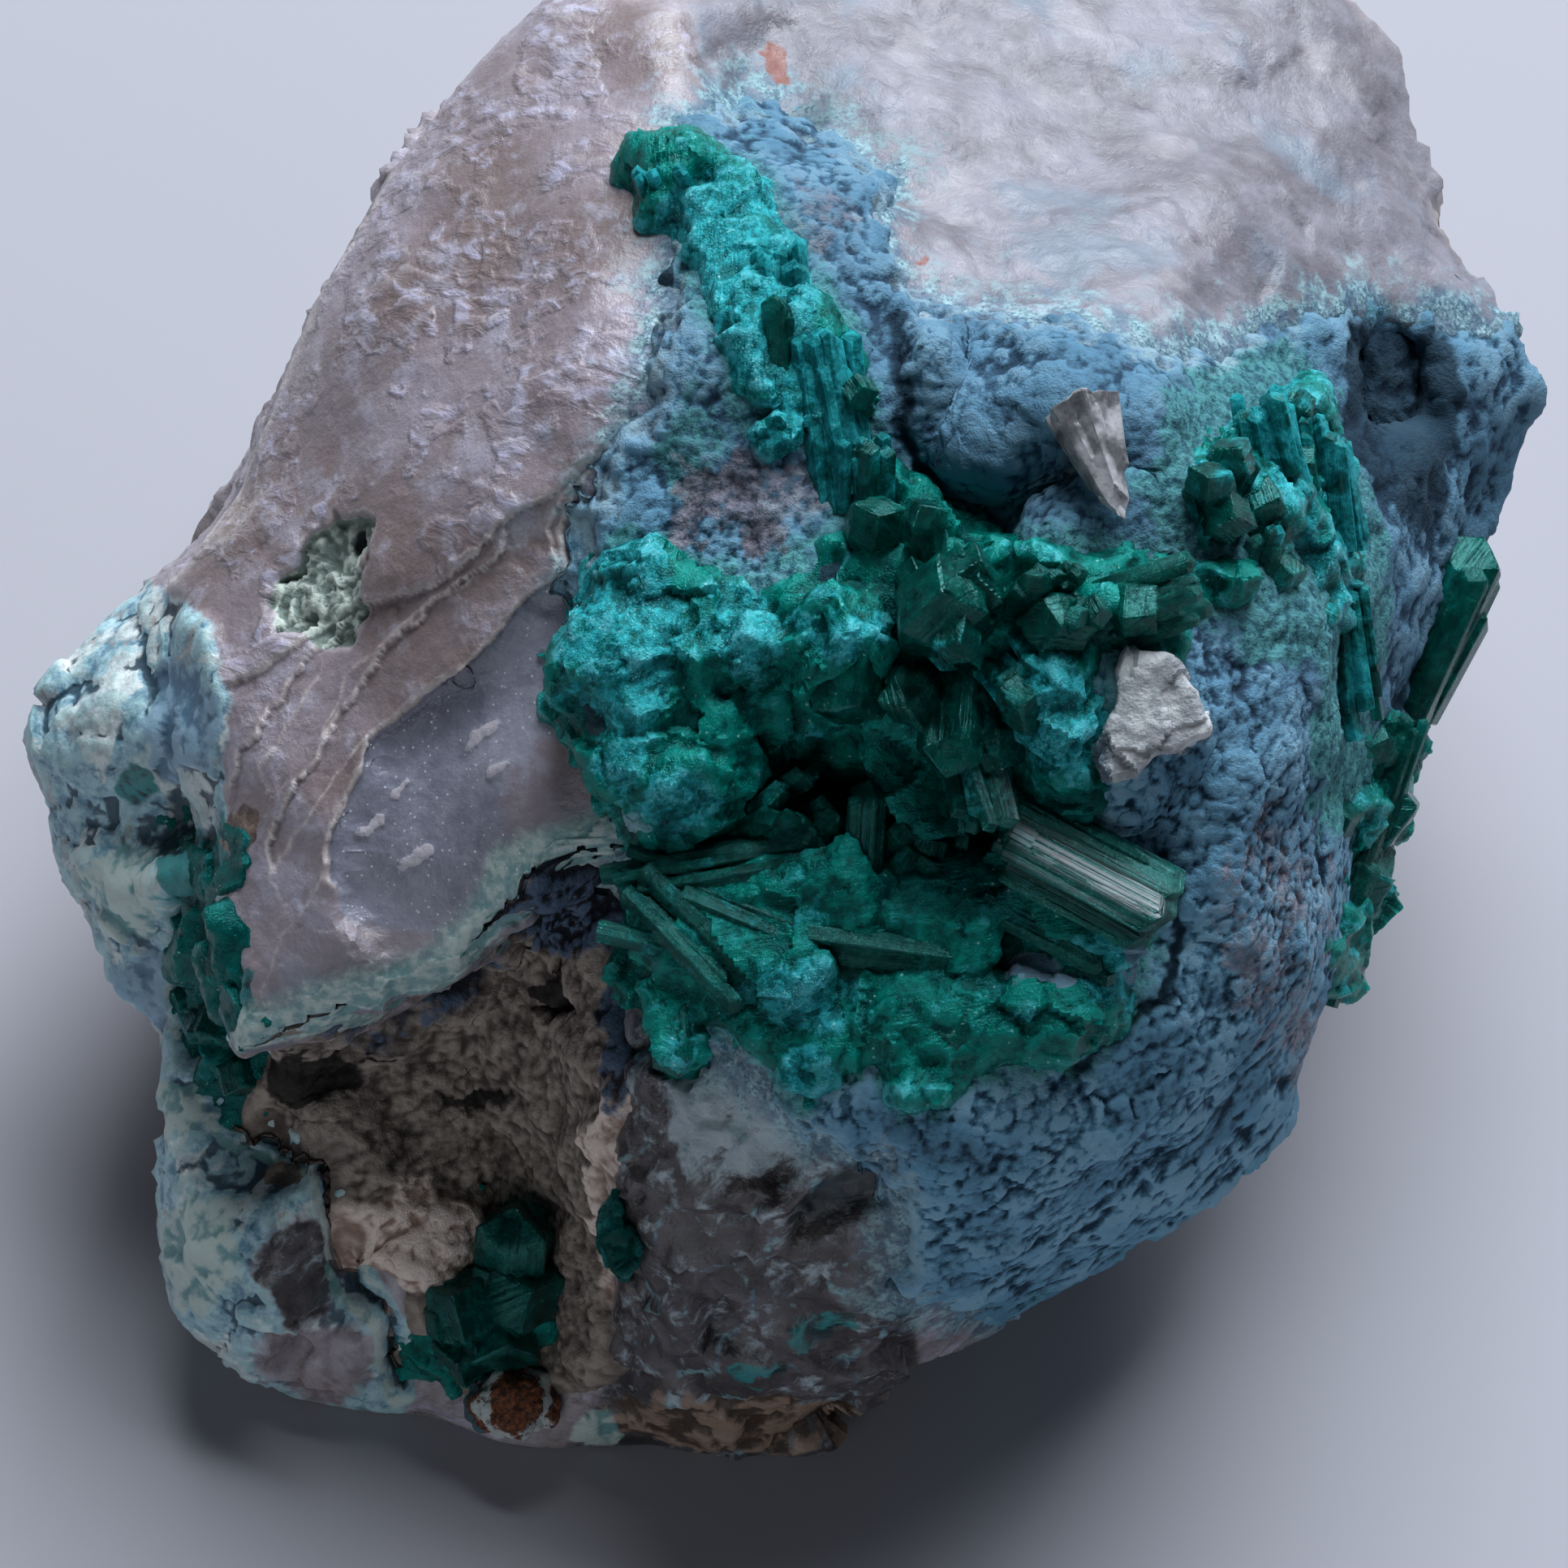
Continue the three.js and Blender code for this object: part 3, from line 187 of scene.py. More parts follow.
RIM_CRYSTALS = [
    (26.8, 2, -11.3, 0.8, 0.3, 1, 2, 8, 0.35), (27.9, -1, -13.2, 1, 0, 0.8, 2, 7, 0.35),
    (26.8, -4.4, -13.2, 1, -0.3, 0.8, 2, 7, 0.4), (25, -7.8, -13.2, 0.7, -0.7, 0.8, 1.7, 6, 0.5),
    (25, -1.6, -8.4, 0.8, 0.1, 1, 1.6, 6, 0.4),
]
POCKET_CRYSTALS = [
    (-11.8, -18.6, -11.4, 0.05, 0.75, 0.65, 1.7, 6, 0.0), (-14.6, -22.6, -12, -0.25, 0.3, 1, 1.9, 6, 0.0),
    (-11.2, -22.3, -11.6, 0.25, 0.15, 1, 2, 7, 0.05), (-14.4, -25.6, -13.8, -0.2, -0.4, 1, 1.6, 5, 0.3),
    (-12.2, -24.8, -12.6, 0.1, -0.1, 1, 1.7, 6, 0.1),
]
LEFT_CRYSTALS = [
    (-25.3, -2.4, -9.6, 0.2, 0.5, 1, 1.3, 5, 0.1), (-25.8, -4.6, -10.4, 0, -0.2, 1, 1.5, 5, 0.05),
    (-25, -7.6, -12, 0.3, -0.3, 1, 1.2, 4, 0.4), (-24.6, -11.2, -12, 0.2, -0.2, 1, 1.3, 4.5, 0.3),
    (-23.7, -13.3, -11.8, 0.3, -0.4, 1, 1.1, 4, 0.2),
]
EDGE_CRYSTALS = [(30.8, 11, -15.6, 0.42, 0.88, 0.16, 1.8, 9, 0.1)]

# Bundles of crystals side by side: the foremost tip's place, the way they lean, how wide the bundle is
# and how flat, its length, how frosty it is and how many crystals it has.

MAIN_BUNDLES = [
    (-5.3, 27.4, 0.6, -0.2, 0.5, 0.8, 1.3, 0.8, 3, 0.8, 8),
    (-0.6, 24, 3, -0.1, 1, 0.15, 1.6, 0.4, 8, 0.8, 16),
    (1.4, 20.2, 4.6, -0.15, 1, 0.1, 1.9, 0.4, 8, 0.75, 18),
    (3.6, 15.6, 5.6, 0, 0.9, 0.4, 1.3, 0.6, 3.6, 0.5, 14),
    (12.9, 8.6, 11.8, 0.3, 0.3, 1, 1.7, 1, 6, 0.1, 12),
    (18.6, 8.8, 9.4, 0.9, 0.35, 0.3, 1.4, 0.6, 5, 0.15, 12),
    (9.5, -2.4, 8.2, 0.2, -1, 0.25, 1.5, 0.6, 6, 0.35, 12),
    (3.2, -2.8, 5, 1, 0.2, 0.1, 1.2, 0.35, 10, 0.25, 8),
    (1.6, -7.6, 4.8, 0.95, -0.3, 0.08, 1.6, 0.35, 8, 0.3, 9),
    (-1.1, -9.4, 5.2, 0.72, -0.68, 0.14, 1.6, 0.35, 7, 0.35, 9),
    (9.8, -7.8, 4.8, 1, -0.08, 0.05, 1.6, 0.3, 9, 0.1, 9),
    (17, -5.2, 7, 0.86, -0.46, 0.1, 1.4, 0.3, 7.4, 0.0, 9),
    (15.4, -7.8, 6, 0.86, -0.5, 0.1, 1.4, 0.5, 6, 0.3, 10),
    (11.6, 3.6, 10.4, 0.3, -0.5, 0.8, 1.6, 0.8, 4, 0.6, 12),
    (1.6, -0.8, 6, 0.5, 0.3, 0.8, 1.7, 0.8, 5, 0.2, 14),
    (6.6, -1.4, 6.2, 0.3, 0.3, 0.9, 2.2, 0.8, 5, 0.1, 18),
]
# Broad crystals lying flat: as the single crystals, then how the flat side leans (right, up, out).
PLATES = [
    (4.6, -4.4, 5.6, 1, 0.24, 0.26, 1.7, 9.6, 0.3, 0.1, -0.15, 1),
    (1.6, -6.6, 5.4, 0.9, 0.1, 0.28, 1.3, 7, 0.3, -0.2, 0.2, 1),
    (10.8, -4.8, 5.3, 1, -0.12, 0.2, 1.3, 8, 0.05, 0.1, 0.4, 1),
    (9.8, -7.4, 5.6, 1, -0.2, 0.2, 1.3, 8, 0.05, 0.1, -0.25, 1),
    (6.6, -8.8, 5.4, 0.8, 0.5, 0.2, 1, 5, 0.1, -0.2, 0.2, 1),
    (14, -10.3, 6.2, 1, -0.03, 0.12, 1.15, 9.6, 0.2, 0, 0.1, 1),
    (13.4, -11.6, 5.6, 1, -0.12, 0.1, 0.9, 8, 0.25, 0, -0.4, 1),
    (16.4, -7.3, 6.3, 0.9, -0.35, 0.1, 1.1, 7, 0.1, 0, -0.1, 1),
    (1.4, -9.2, 5.2, 0.95, -0.35, 0.1, 1.2, 7, 0.35, 0, -0.2, 1),
    (-4.6, -12.9, 4.4, 0.1, -1, 0.2, 0.9, 4.4, 0.3, 0, 0.2, 1),
    (7.8, -2.6, 5.4, 0.6, -0.8, 0.1, 1.1, 6, 0.1, 0.3, 0.2, 1),
]
# Plates turned so that their flat sides mirror the light, where the painted reflection lies.
GLARE_PLATES = [
    (17.3, -5.9, 7.4, 0.86, -0.46, 0.1, 1.1, 8, 0.0, 0.15, 0.55, 0.82),
    (17.6, -4.8, 7.2, 0.86, -0.46, 0.1, 0.7, 8, 0.0, 0.15, 0.55, 0.82),
    (16.2, -6.8, 7, 0.86, -0.46, 0.1, 0.8, 7, 0.0, 0.15, 0.55, 0.82),
    (16.8, -5.6, 7.9, 0.86, -0.46, 0.1, 0.45, 6.4, 0.0, 0.15, 0.55, 0.82),
]
PLATE_THIN = 0.66
GLINT = (0.15, 0.55, 0.82)             # the way the brightest crystal faces look
FLANK_BUNDLES = [
    (20.4, 17.4, 1.4, -0.25, 1, 0.2, 1.6, 0.35, 5, 0.7, 14),
    (23.2, 16.4, -2, -0.2, 1, 0.2, 1.4, 0.35, 6, 0.7, 14),
    (18.4, 14, 5.8, -0.2, 0.8, 0.5, 1.3, 0.5, 4, 0.5, 12),
    (21.4, 12, 3.2, 0.2, 0.8, 0.5, 1.4, 0.5, 4, 0.4, 12),
    (24.8, 9, -4, -0.15, 1, 0.2, 1.2, 0.4, 6, 0.6, 12),
]
RIM_BUNDLES = [
    (27.2, 3.6, -12.2, 0.3, 0.95, 0.1, 1.3, 0.6, 8, 0.3, 14),
    (25.4, -3, -12.8, 0.32, 0.95, 0.1, 1.3, 0.6, 6, 0.3, 12),
]
QUARTZ_POINT = (15, 11.6, 8.4, 0.36, -0.9, 0.3, 1.35, 5.6, 0.0)

# ------------------------------------------------------------------ working with places


def place(u, v, w):
    """The point of the stone at [u, v, w], in millimetres."""
    spread = 1 - w / FLANK_REACH
    return FACE_CENTRE + ACROSS * (u * spread) + UP * (v * spread) + OUT * w


def leaning(du, dv, dw):
    """A direction given as right, up and out of the face."""
    way = ACROSS * du + UP * dv + OUT * dw
    return Vector(way / np.linalg.norm(way))


def on_face(points):
    """Points in millimetres as the arrays u, v and w."""
    offset = points - FACE_CENTRE
    w = offset @ OUT
    spread = 1 - w / FLANK_REACH
    return offset @ ACROSS / spread, offset @ UP / spread, w


def soft(value, low, high):
    """0 at low, 1 at high, and a smooth rise between them."""
    share = np.clip((value - low) / (high - low), 0, 1)
    return share * share * (3 - 2 * share)


def line_distance(u, v, line):
    """Distance on the face to a line of corners."""
    nearest = np.full(len(u), 1e9)
    for (a, b), (c, d) in zip(line, line[1:]):
        run, rise = c - a, d - b
        share = np.clip(((u - a) * run + (v - b) * rise) / (run * run + rise * rise), 0, 1)
        nearest = np.minimum(nearest, np.hypot(u - a - share * run, v - b - share * rise))
    return nearest


def depth_inside(u, v, outline):
    """Distance to a closed outline, positive inside it."""
    closed = list(outline) + [outline[0]]
    crossings = np.zeros(len(u), bool)
    for (a, b), (c, d) in zip(closed, closed[1:]):
        if b == d:
            continue
        spans = (v < b) != (v < d)
        crossings ^= spans & (u < a + (v - b) * (c - a) / (d - b))
    return np.where(crossings, 1, -1) * line_distance(u, v, closed)


def around(u, v, middle, radii):
    """1 at the middle of an oval patch and 0 beyond it."""
    reach = np.hypot((u - middle[0]) / radii[0], (v - middle[1]) / radii[1])
    return 1 - soft(reach, 0.55, 1.15)


highest = np.maximum.reduce


def patches(u, v, *ovals):
    """The strongest of several oval patches: each its middle, its radii and its strength."""
    return highest([
        strength * around(u, v, (middle_u, middle_v), (radius_u, radius_v))
        for middle_u, middle_v, radius_u, radius_v, strength in ovals])


def ragged_places(points, u, v, reach=0.8):
    """Face places pushed about by noise, so that what is drawn with them has torn edges."""
    across = waves(points, 2.6, 31) + 0.6 * waves(points, 0.9, 33) + 0.3 * waves(points, 0.35, 34)
    upward = waves(points, 2.6, 35) + 0.6 * waves(points, 0.9, 37) + 0.3 * waves(points, 0.35, 38)
    return u + reach * across, v + reach * upward


def waves(points, size, shift=0.0):
    """Smooth noise of a wavelength in millimetres, about -1 to 1."""
    spots = (points / size + shift).tolist()
    return np.array([noise.noise(spot) for spot in spots])


def knobs(points, size, shift=0.0):
    """Round knobs like packed grains of a size in millimetres: 1 at their tops, 0 in the cracks."""
    spots = (points / size + shift).tolist()
    nearest = np.array([noise.voronoi(spot)[0][0] for spot in spots])
    return 1 - np.minimum(nearest, 1) ** 2


def chips(points, size, shift=0.0):
    """Broken facets of a size in millimetres, each with a tilt of its own, about -1 to 1."""
    spots = (points / size + shift).tolist()
    heights = []
    for spot in spots:
        seed = noise.voronoi(spot)[1][0]
        tilt = noise.cell_vector(seed * 7.3)
        reach = Vector(spot) - seed
        heights.append(reach.dot(tilt - Vector((0.5, 0.5, 0.5))) * 2 + tilt.x - 0.5)
    return np.array(heights)


# ------------------------------------------------------------------ working with meshes


def select_only(piece):
    """The piece alone is selected and active, so that the operators act on it."""
    bpy.ops.object.select_all(action="DESELECT")
    piece.select_set(True)
    bpy.context.view_layer.objects.active = piece


def apply_modifier(piece, kind, **settings):
    """Adds one modifier with its settings and applies it."""
    select_only(piece)
    modifier = piece.modifiers.new(kind.lower(), kind)
    for name, value in settings.items():
        setattr(modifier, name, value)
    bpy.ops.object.modifier_apply(modifier=modifier.name)


def points_of(mesh):
    """A mesh's points, in millimetres."""
    flat = np.empty(len(mesh.vertices) * 3)
    mesh.vertices.foreach_get("co", flat)
    return flat.reshape(-1, 3) / MM


def move_points(mesh, points):
    """Sets a mesh's points, given in millimetres."""
    mesh.vertices.foreach_set("co", (points * MM).ravel())
    mesh.update()


def push_out(mesh, points, slopes, heights):
    """Moves points along their slopes by heights in millimetres, though never below the ground."""
    moved = points + slopes * heights[:, None]
    moved[:, 2] = np.maximum(moved[:, 2], 0)
    move_points(mesh, moved)
    return moved


def slopes_of(mesh):
    """The unit normals at a mesh's points."""
    flat = np.empty(len(mesh.vertices) * 3)
    mesh.vertices.foreach_get("normal", flat)
    return flat.reshape(-1, 3)


def keep_mask(mesh, name, values):
    """Stores a number for each point, for the material to read."""
    layer = mesh.attributes.get(name) or mesh.attributes.new(name, "FLOAT", "POINT")
    layer.data.foreach_set("value", np.clip(values, 0, 1).astype(np.float32))


def prominence(mesh, passes, reach):
    """How far each point stands out from the surface around it: 1 on crests, 0 in crevices."""
    points = points_of(mesh)
    ends = np.empty(len(mesh.edges) * 2, np.int32)
    mesh.edges.foreach_get("vertices", ends)
    ends = ends.reshape(-1, 2)
    count = len(points)
    neighbours = np.maximum(np.bincount(ends.ravel(), minlength=count), 1)
    level = points.copy()
    for _ in range(passes):
        sums = np.empty_like(level)
        for axis in range(3):
            there = np.bincount(ends[:, 0], weights=level[ends[:, 1], axis], minlength=count)
            back = np.bincount(ends[:, 1], weights=level[ends[:, 0], axis], minlength=count)
            sums[:, axis] = there + back
        level = sums / neighbours[:, None]
    return soft(((points - level) * slopes_of(mesh)).sum(axis=1), -reach, reach)


def join(name, pieces):
    """Several objects as one."""
    bpy.ops.object.select_all(action="DESELECT")
    for piece in pieces:
        piece.select_set(True)
    bpy.context.view_layer.objects.active = pieces[0]
    if len(pieces) > 1:
        bpy.ops.object.join()
    whole = bpy.context.view_layer.objects.active
    whole.name = name
    whole.data.name = name
    return whole


def select_faces(mesh, chosen):
    """Selects the chosen faces and nothing else."""
    mesh.vertices.foreach_set("select", np.zeros(len(mesh.vertices), bool))
    mesh.edges.foreach_set("select", np.zeros(len(mesh.edges), bool))
    mesh.polygons.foreach_set("select", chosen)


def face_middles(mesh):
    """The middles of a mesh's faces, in millimetres."""
    flat = np.empty(len(mesh.polygons) * 3)
    mesh.polygons.foreach_get("center", flat)
    return flat.reshape(-1, 3) / MM


def edit_faces(piece, chosen, operation):
    """Runs an edit-mode operation on the chosen faces."""
    select_only(piece)
    bpy.ops.object.mode_set(mode="EDIT")
    bpy.ops.mesh.select_mode(type="FACE")
    bpy.ops.mesh.select_all(action="DESELECT")
    bpy.ops.object.mode_set(mode="OBJECT")
    select_faces(piece.data, chosen)
    bpy.ops.object.mode_set(mode="EDIT")
    operation()
    bpy.ops.object.mode_set(mode="OBJECT")


def divide():
    """Cuts each selected face into four."""
    bpy.ops.mesh.subdivide(number_cuts=1, ngon=False, quadcorner="INNERVERT")


def smooth_look(piece, angle=180.0):
    """Smooth shading, broken where faces meet at more than the angle in degrees."""
    select_only(piece)
    bpy.ops.object.shade_smooth()
    if angle < 180:
        bpy.ops.object.shade_smooth_by_angle(angle=math.radians(angle))


def copy_of_nodes(name, *nodes):
    """One object that joins copies of the part's solids, with their doubled points merged."""
    copies = []
    for node in nodes:
        copy = bpy.data.objects.new(f"{name}_{node}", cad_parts[node].data.copy())
        bpy.context.scene.collection.objects.link(copy)
        copies.append(copy)
    piece = join(name, copies)
    piece.data.materials.clear()
    bpy.ops.object.mode_set(mode="EDIT")
    bpy.ops.mesh.select_all(action="SELECT")
    bpy.ops.mesh.remove_doubles(threshold=1e-6)
    bpy.ops.object.mode_set(mode="OBJECT")
    return piece


def refined_copy(name, node, voxel, smoothing):
    """A copy of one solid of the part, with a mesh fine enough for its relief."""
    piece = copy_of_nodes(name, node)
    apply_modifier(piece, "REMESH", mode="VOXEL", voxel_size=voxel * MM)
    apply_modifier(piece, "SMOOTH", factor=0.5, iterations=smoothing)
    return piece


def finish(piece, material, slot, *nodes):
    """Gives the piece its finish and its place on the frame."""
    piece.data.materials.clear()
    piece.data.materials.append(material)
    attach(piece, "root")
    if nodes:
        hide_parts(*nodes)


# ------------------------------------------------------------------ the stone's common skin

HIDDEN_DEPTH = -27      # the quartz behind this is never seen from the front
THINNED = 0.62          # share of the quartz's faces that is left once its hidden part is thinned
STONE_VOXEL = 0.68      # grain of the stone's common skin
SEAM_GROWTH = 0.24      # each mineral swells by this, so that no seam is left between them
SKIN_SMOOTHING = 6
COVER_SINK = 1.2        # the quartz lies this much lower under a coating
SHELL_DEPTH = 1.7       # thickness of a coating's shell

skin_kept = {}


def stone_skin():
    """A mesh of the whole stone, without crystals, as one unbroken skin."""
    if "mesh" not in skin_kept:
        stone = copy_of_nodes("stone_skin", "quartz_matrix", "blue_crust", "clay_lining")
        apply_modifier(stone, "DISPLACE", strength=SEAM_GROWTH * MM, mid_level=0)
        apply_modifier(stone, "REMESH", mode="VOXEL", voxel_size=STONE_VOXEL * MM)
        apply_modifier(stone, "SMOOTH", factor=0.5, iterations=SKIN_SMOOTHING)
        skin_kept["mesh"] = stone.data.copy()
        bpy.data.objects.remove(stone)
    return skin_kept["mesh"].copy()


def crust_cover(points):
    """How far inside the blue crust a point lies, with a ragged edge."""
    u, v, w = on_face(points)
    ragged = 0.9 * waves(points, 1.7) + 0.45 * waves(points, 0.6, 3)
    return np.minimum(depth_inside(u, v, CRUST_OUTLINE), (w - CRUST_BACK) * 0.8) + ragged


def clay_cover(points):
    """The same for the clay of the pocket."""
    u, v, w = on_face(points)
    ragged = 0.35 * waves(points, 1.5, 5)
    return np.minimum(depth_inside(u, v, CLAY_OUTLINE), (w - CLAY_BACK) * 0.8) + ragged


def bed_cover(outline):
    """A cover function for a bed of crystals inside an outline."""

    def cover(points):
        u, v, w = on_face(points)
        ragged = 0.7 * waves(points, 1.2, 9)
        return np.minimum(depth_inside(u, v, outline), w - BED_BACK) + ragged

    return cover


def coating(name, cover, fine_passes, coarse_where=None):
    """A shell cut from the stone's skin where the cover reaches, with its outer face divided finely."""
    piece = bpy.data.objects.new(name, stone_skin())
    bpy.context.scene.collection.objects.link(piece)
    beyond = cover(face_middles(piece.data)) < -0.9
    edit_faces(piece, beyond, lambda: bpy.ops.mesh.delete(type="FACE"))
    select_only(piece)
    bpy.ops.object.mode_set(mode="EDIT")
    bpy.ops.mesh.select_all(action="SELECT")
    bpy.ops.mesh.delete_loose()
    bpy.ops.object.mode_set(mode="OBJECT")
    outer_count = len(piece.data.polygons)
    apply_modifier(piece, "SOLIDIFY", thickness=SHELL_DEPTH * MM, offset=-1)
    outer = np.arange(len(piece.data.polygons)) < outer_count
    layer = piece.data.attributes.new("outer", "FLOAT", "FACE")
    layer.data.foreach_set("value", outer.astype(np.float32))
    for number in range(fine_passes):
        marks = np.empty(len(piece.data.polygons), np.float32)
        piece.data.attributes["outer"].data.foreach_get("value", marks)
        chosen = marks > 0.5
        if number > 0 and coarse_where is not None:
            chosen &= ~coarse_where(face_middles(piece.data))
        edit_faces(piece, chosen, divide)
    return piece


def outer_points(mesh):
    """1 for the points of a coating's outer face and 0 for the rest."""
    marks = np.empty(len(mesh.polygons), np.float32)
    mesh.attributes["outer"].data.foreach_get("value", marks)
    counts = np.empty(len(mesh.polygons), np.int32)
    mesh.polygons.foreach_get("loop_total", counts)
    corners = np.empty(len(mesh.loops), np.int32)
    mesh.loops.foreach_get("vertex_index", corners)
    share = np.zeros(len(mesh.vertices))
    share[corners[np.repeat(marks > 0.5, counts)]] = 1
    return share


# ------------------------------------------------------------------ materials

QUARTZ_IOR = 1.55
GREEN_IOR = 1.66
GREEN_SHINE = (0.15, 1.0, 0.92, 1.0)    # what the green mineral's faces mirror is green too
GREEN_DEPTH = 190.0                     # how fast the clear green mineral darkens with depth


class Socket:
    """A value running through a material; sums and products of it add the nodes they need."""

    def __init__(self, paint, socket):
        self.paint = paint
        self.socket = socket

    def maths(self, operation, *values):
        inputs = dict(enumerate(values))
        return self.paint.node("ShaderNodeMath", {"operation": operation}, inputs)

    def __add__(self, other):
        return self.maths("ADD", self, other)

    __radd__ = __add__

    def __sub__(self, other):
        return self.maths("SUBTRACT", self, other)

    def __rsub__(self, other):
        return self.maths("SUBTRACT", other, self)

    def __mul__(self, other):
        return self.maths("MULTIPLY", self, other)

    __rmul__ = __mul__

    def __truediv__(self, other):
        return self.maths("DIVIDE", self, other)

    def __rtruediv__(self, other):
        return self.maths("DIVIDE", other, self)

    def larger(self, other):
        return self.maths("MAXIMUM", self, other)


class Paint:
    """A material under construction."""

    def __init__(self, name):
        self.material = bpy.data.materials.new(name)
        self.material.use_nodes = True
        self.tree = self.material.node_tree
        self.tree.nodes.clear()
        self.output = self.tree.nodes.new("ShaderNodeOutputMaterial")
        self.places = self.node("ShaderNodeTexCoord", {}, {}, "Object")

    def node(self, kind, settings, values, output=0):
        """Any node: its settings, the values or links of its sockets, and the output wanted."""
        node = self.tree.nodes.new(kind)
        for name, value in settings.items():
            setattr(node, name, value)
        for name, value in values.items():
            if isinstance(value, Socket):
                self.tree.links.new(value.socket, node.inputs[name])
            else:
                node.inputs[name].default_value = value
        return Socket(self, node.outputs[output])

    def mask(self, name):
        return self.node("ShaderNodeAttribute", {"attribute_name": name}, {}, "Fac")

    def clouds(self, size, detail=3.0, roughness=0.55, distortion=0.0, places=None):
        """Noise of a size in millimetres, 0 to 1."""
        values = {
            "Vector": places or self.places,
            "Scale": 1 / (size * MM),
            "Detail": detail,
            "Roughness": roughness,
            "Distortion": distortion,
        }
        return self.node("ShaderNodeTexNoise", {}, values, "Fac")

    def cells(self, size, feature="F1", output="Distance", places=None):
        """Cells of a size in millimetres."""
        values = {"Vector": places or self.places, "Scale": 1 / (size * MM)}
        return self.node("ShaderNodeTexVoronoi", {"feature": feature}, values, output)

    def along(self, turn, stretch):
        """Places measured along turned axes, each divided by its stretch."""
        values = {"Vector": self.places, "Rotation": turn, "Scale": stretch}
        return self.node("ShaderNodeMapping", {"vector_type": "TEXTURE"}, values)

    def shaken(self, size, reach):
        """Object places pushed about by noise, both in millimetres."""
        values = {"Vector": self.places, "Scale": 1 / (size * MM), "Detail": 3.0}
        push = self.node("ShaderNodeTexNoise", {}, values, "Color")
        centred = self.node("ShaderNodeVectorMath", {"operation": "SUBTRACT"}, {0: push, 1: (0.5, 0.5,
            0.5)})
        scaled = self.node("ShaderNodeVectorMath", {"operation": "SCALE"}, {0: centred, "Scale": reach
            * MM})
        return self.node("ShaderNodeVectorMath", {"operation": "ADD"}, {0: self.places, 1: scaled})

    def rise(self, value, low, high, bottom=0.0, top=1.0):
        """A smooth rise from bottom to top as the value goes from low to high."""
        values = {"Value": value, "From Min": low, "From Max": high, "To Min": bottom, "To Max": top}
        return self.node("ShaderNodeMapRange", {"interpolation_type": "SMOOTHSTEP"}, values)

    def blend(self, share, first, second):
        """A colour between two colours; three plain numbers are a colour as tint takes it."""
        ends = [tint(*end) if isinstance(end, tuple) and len(end) == 3 else end for end in (first, second)]
        return self.node("ShaderNodeMix", {"data_type": "RGBA"}, {0: share, 6: ends[0], 7: ends[1]}, 2)

    def tones(self, value, low, high, first, second):
        """A smooth change from one colour to another as the value goes from low to high."""
        return self.blend(self.rise(value, low, high), first, second)

    def marked(self, name, wander, low, high):
        """A mask's patches with edges that wander."""
        return self.rise(self.mask(name) + wander, low, high)

    def relief(self, height, depth, strength=1.0):
        """A bump of a depth in millimetres."""
        values = {"Height": height, "Distance": depth * MM, "Strength": strength}
        return self.node("ShaderNodeBump", {}, values)

    def shader(self, values):
        return self.node("ShaderNodeBsdfPrincipled", {}, values)

    def finish(self, surface, volume=None):
        self.tree.links.new(surface.socket, self.output.inputs["Surface"])
        if volume is not None:
            self.tree.links.new(volume.socket, self.output.inputs["Volume"])
        return self.material


def tint(red, green, blue):
    """A colour given as it is seen, 0 to 255, as the shader wants it."""
    seen = [part / 255 for part in (red, green, blue)]
    linear = [part / 12.92 if part <= 0.04045 else ((part + 0.055) / 1.055) ** 2.4 for part in seen]
    return (*linear, 1.0)


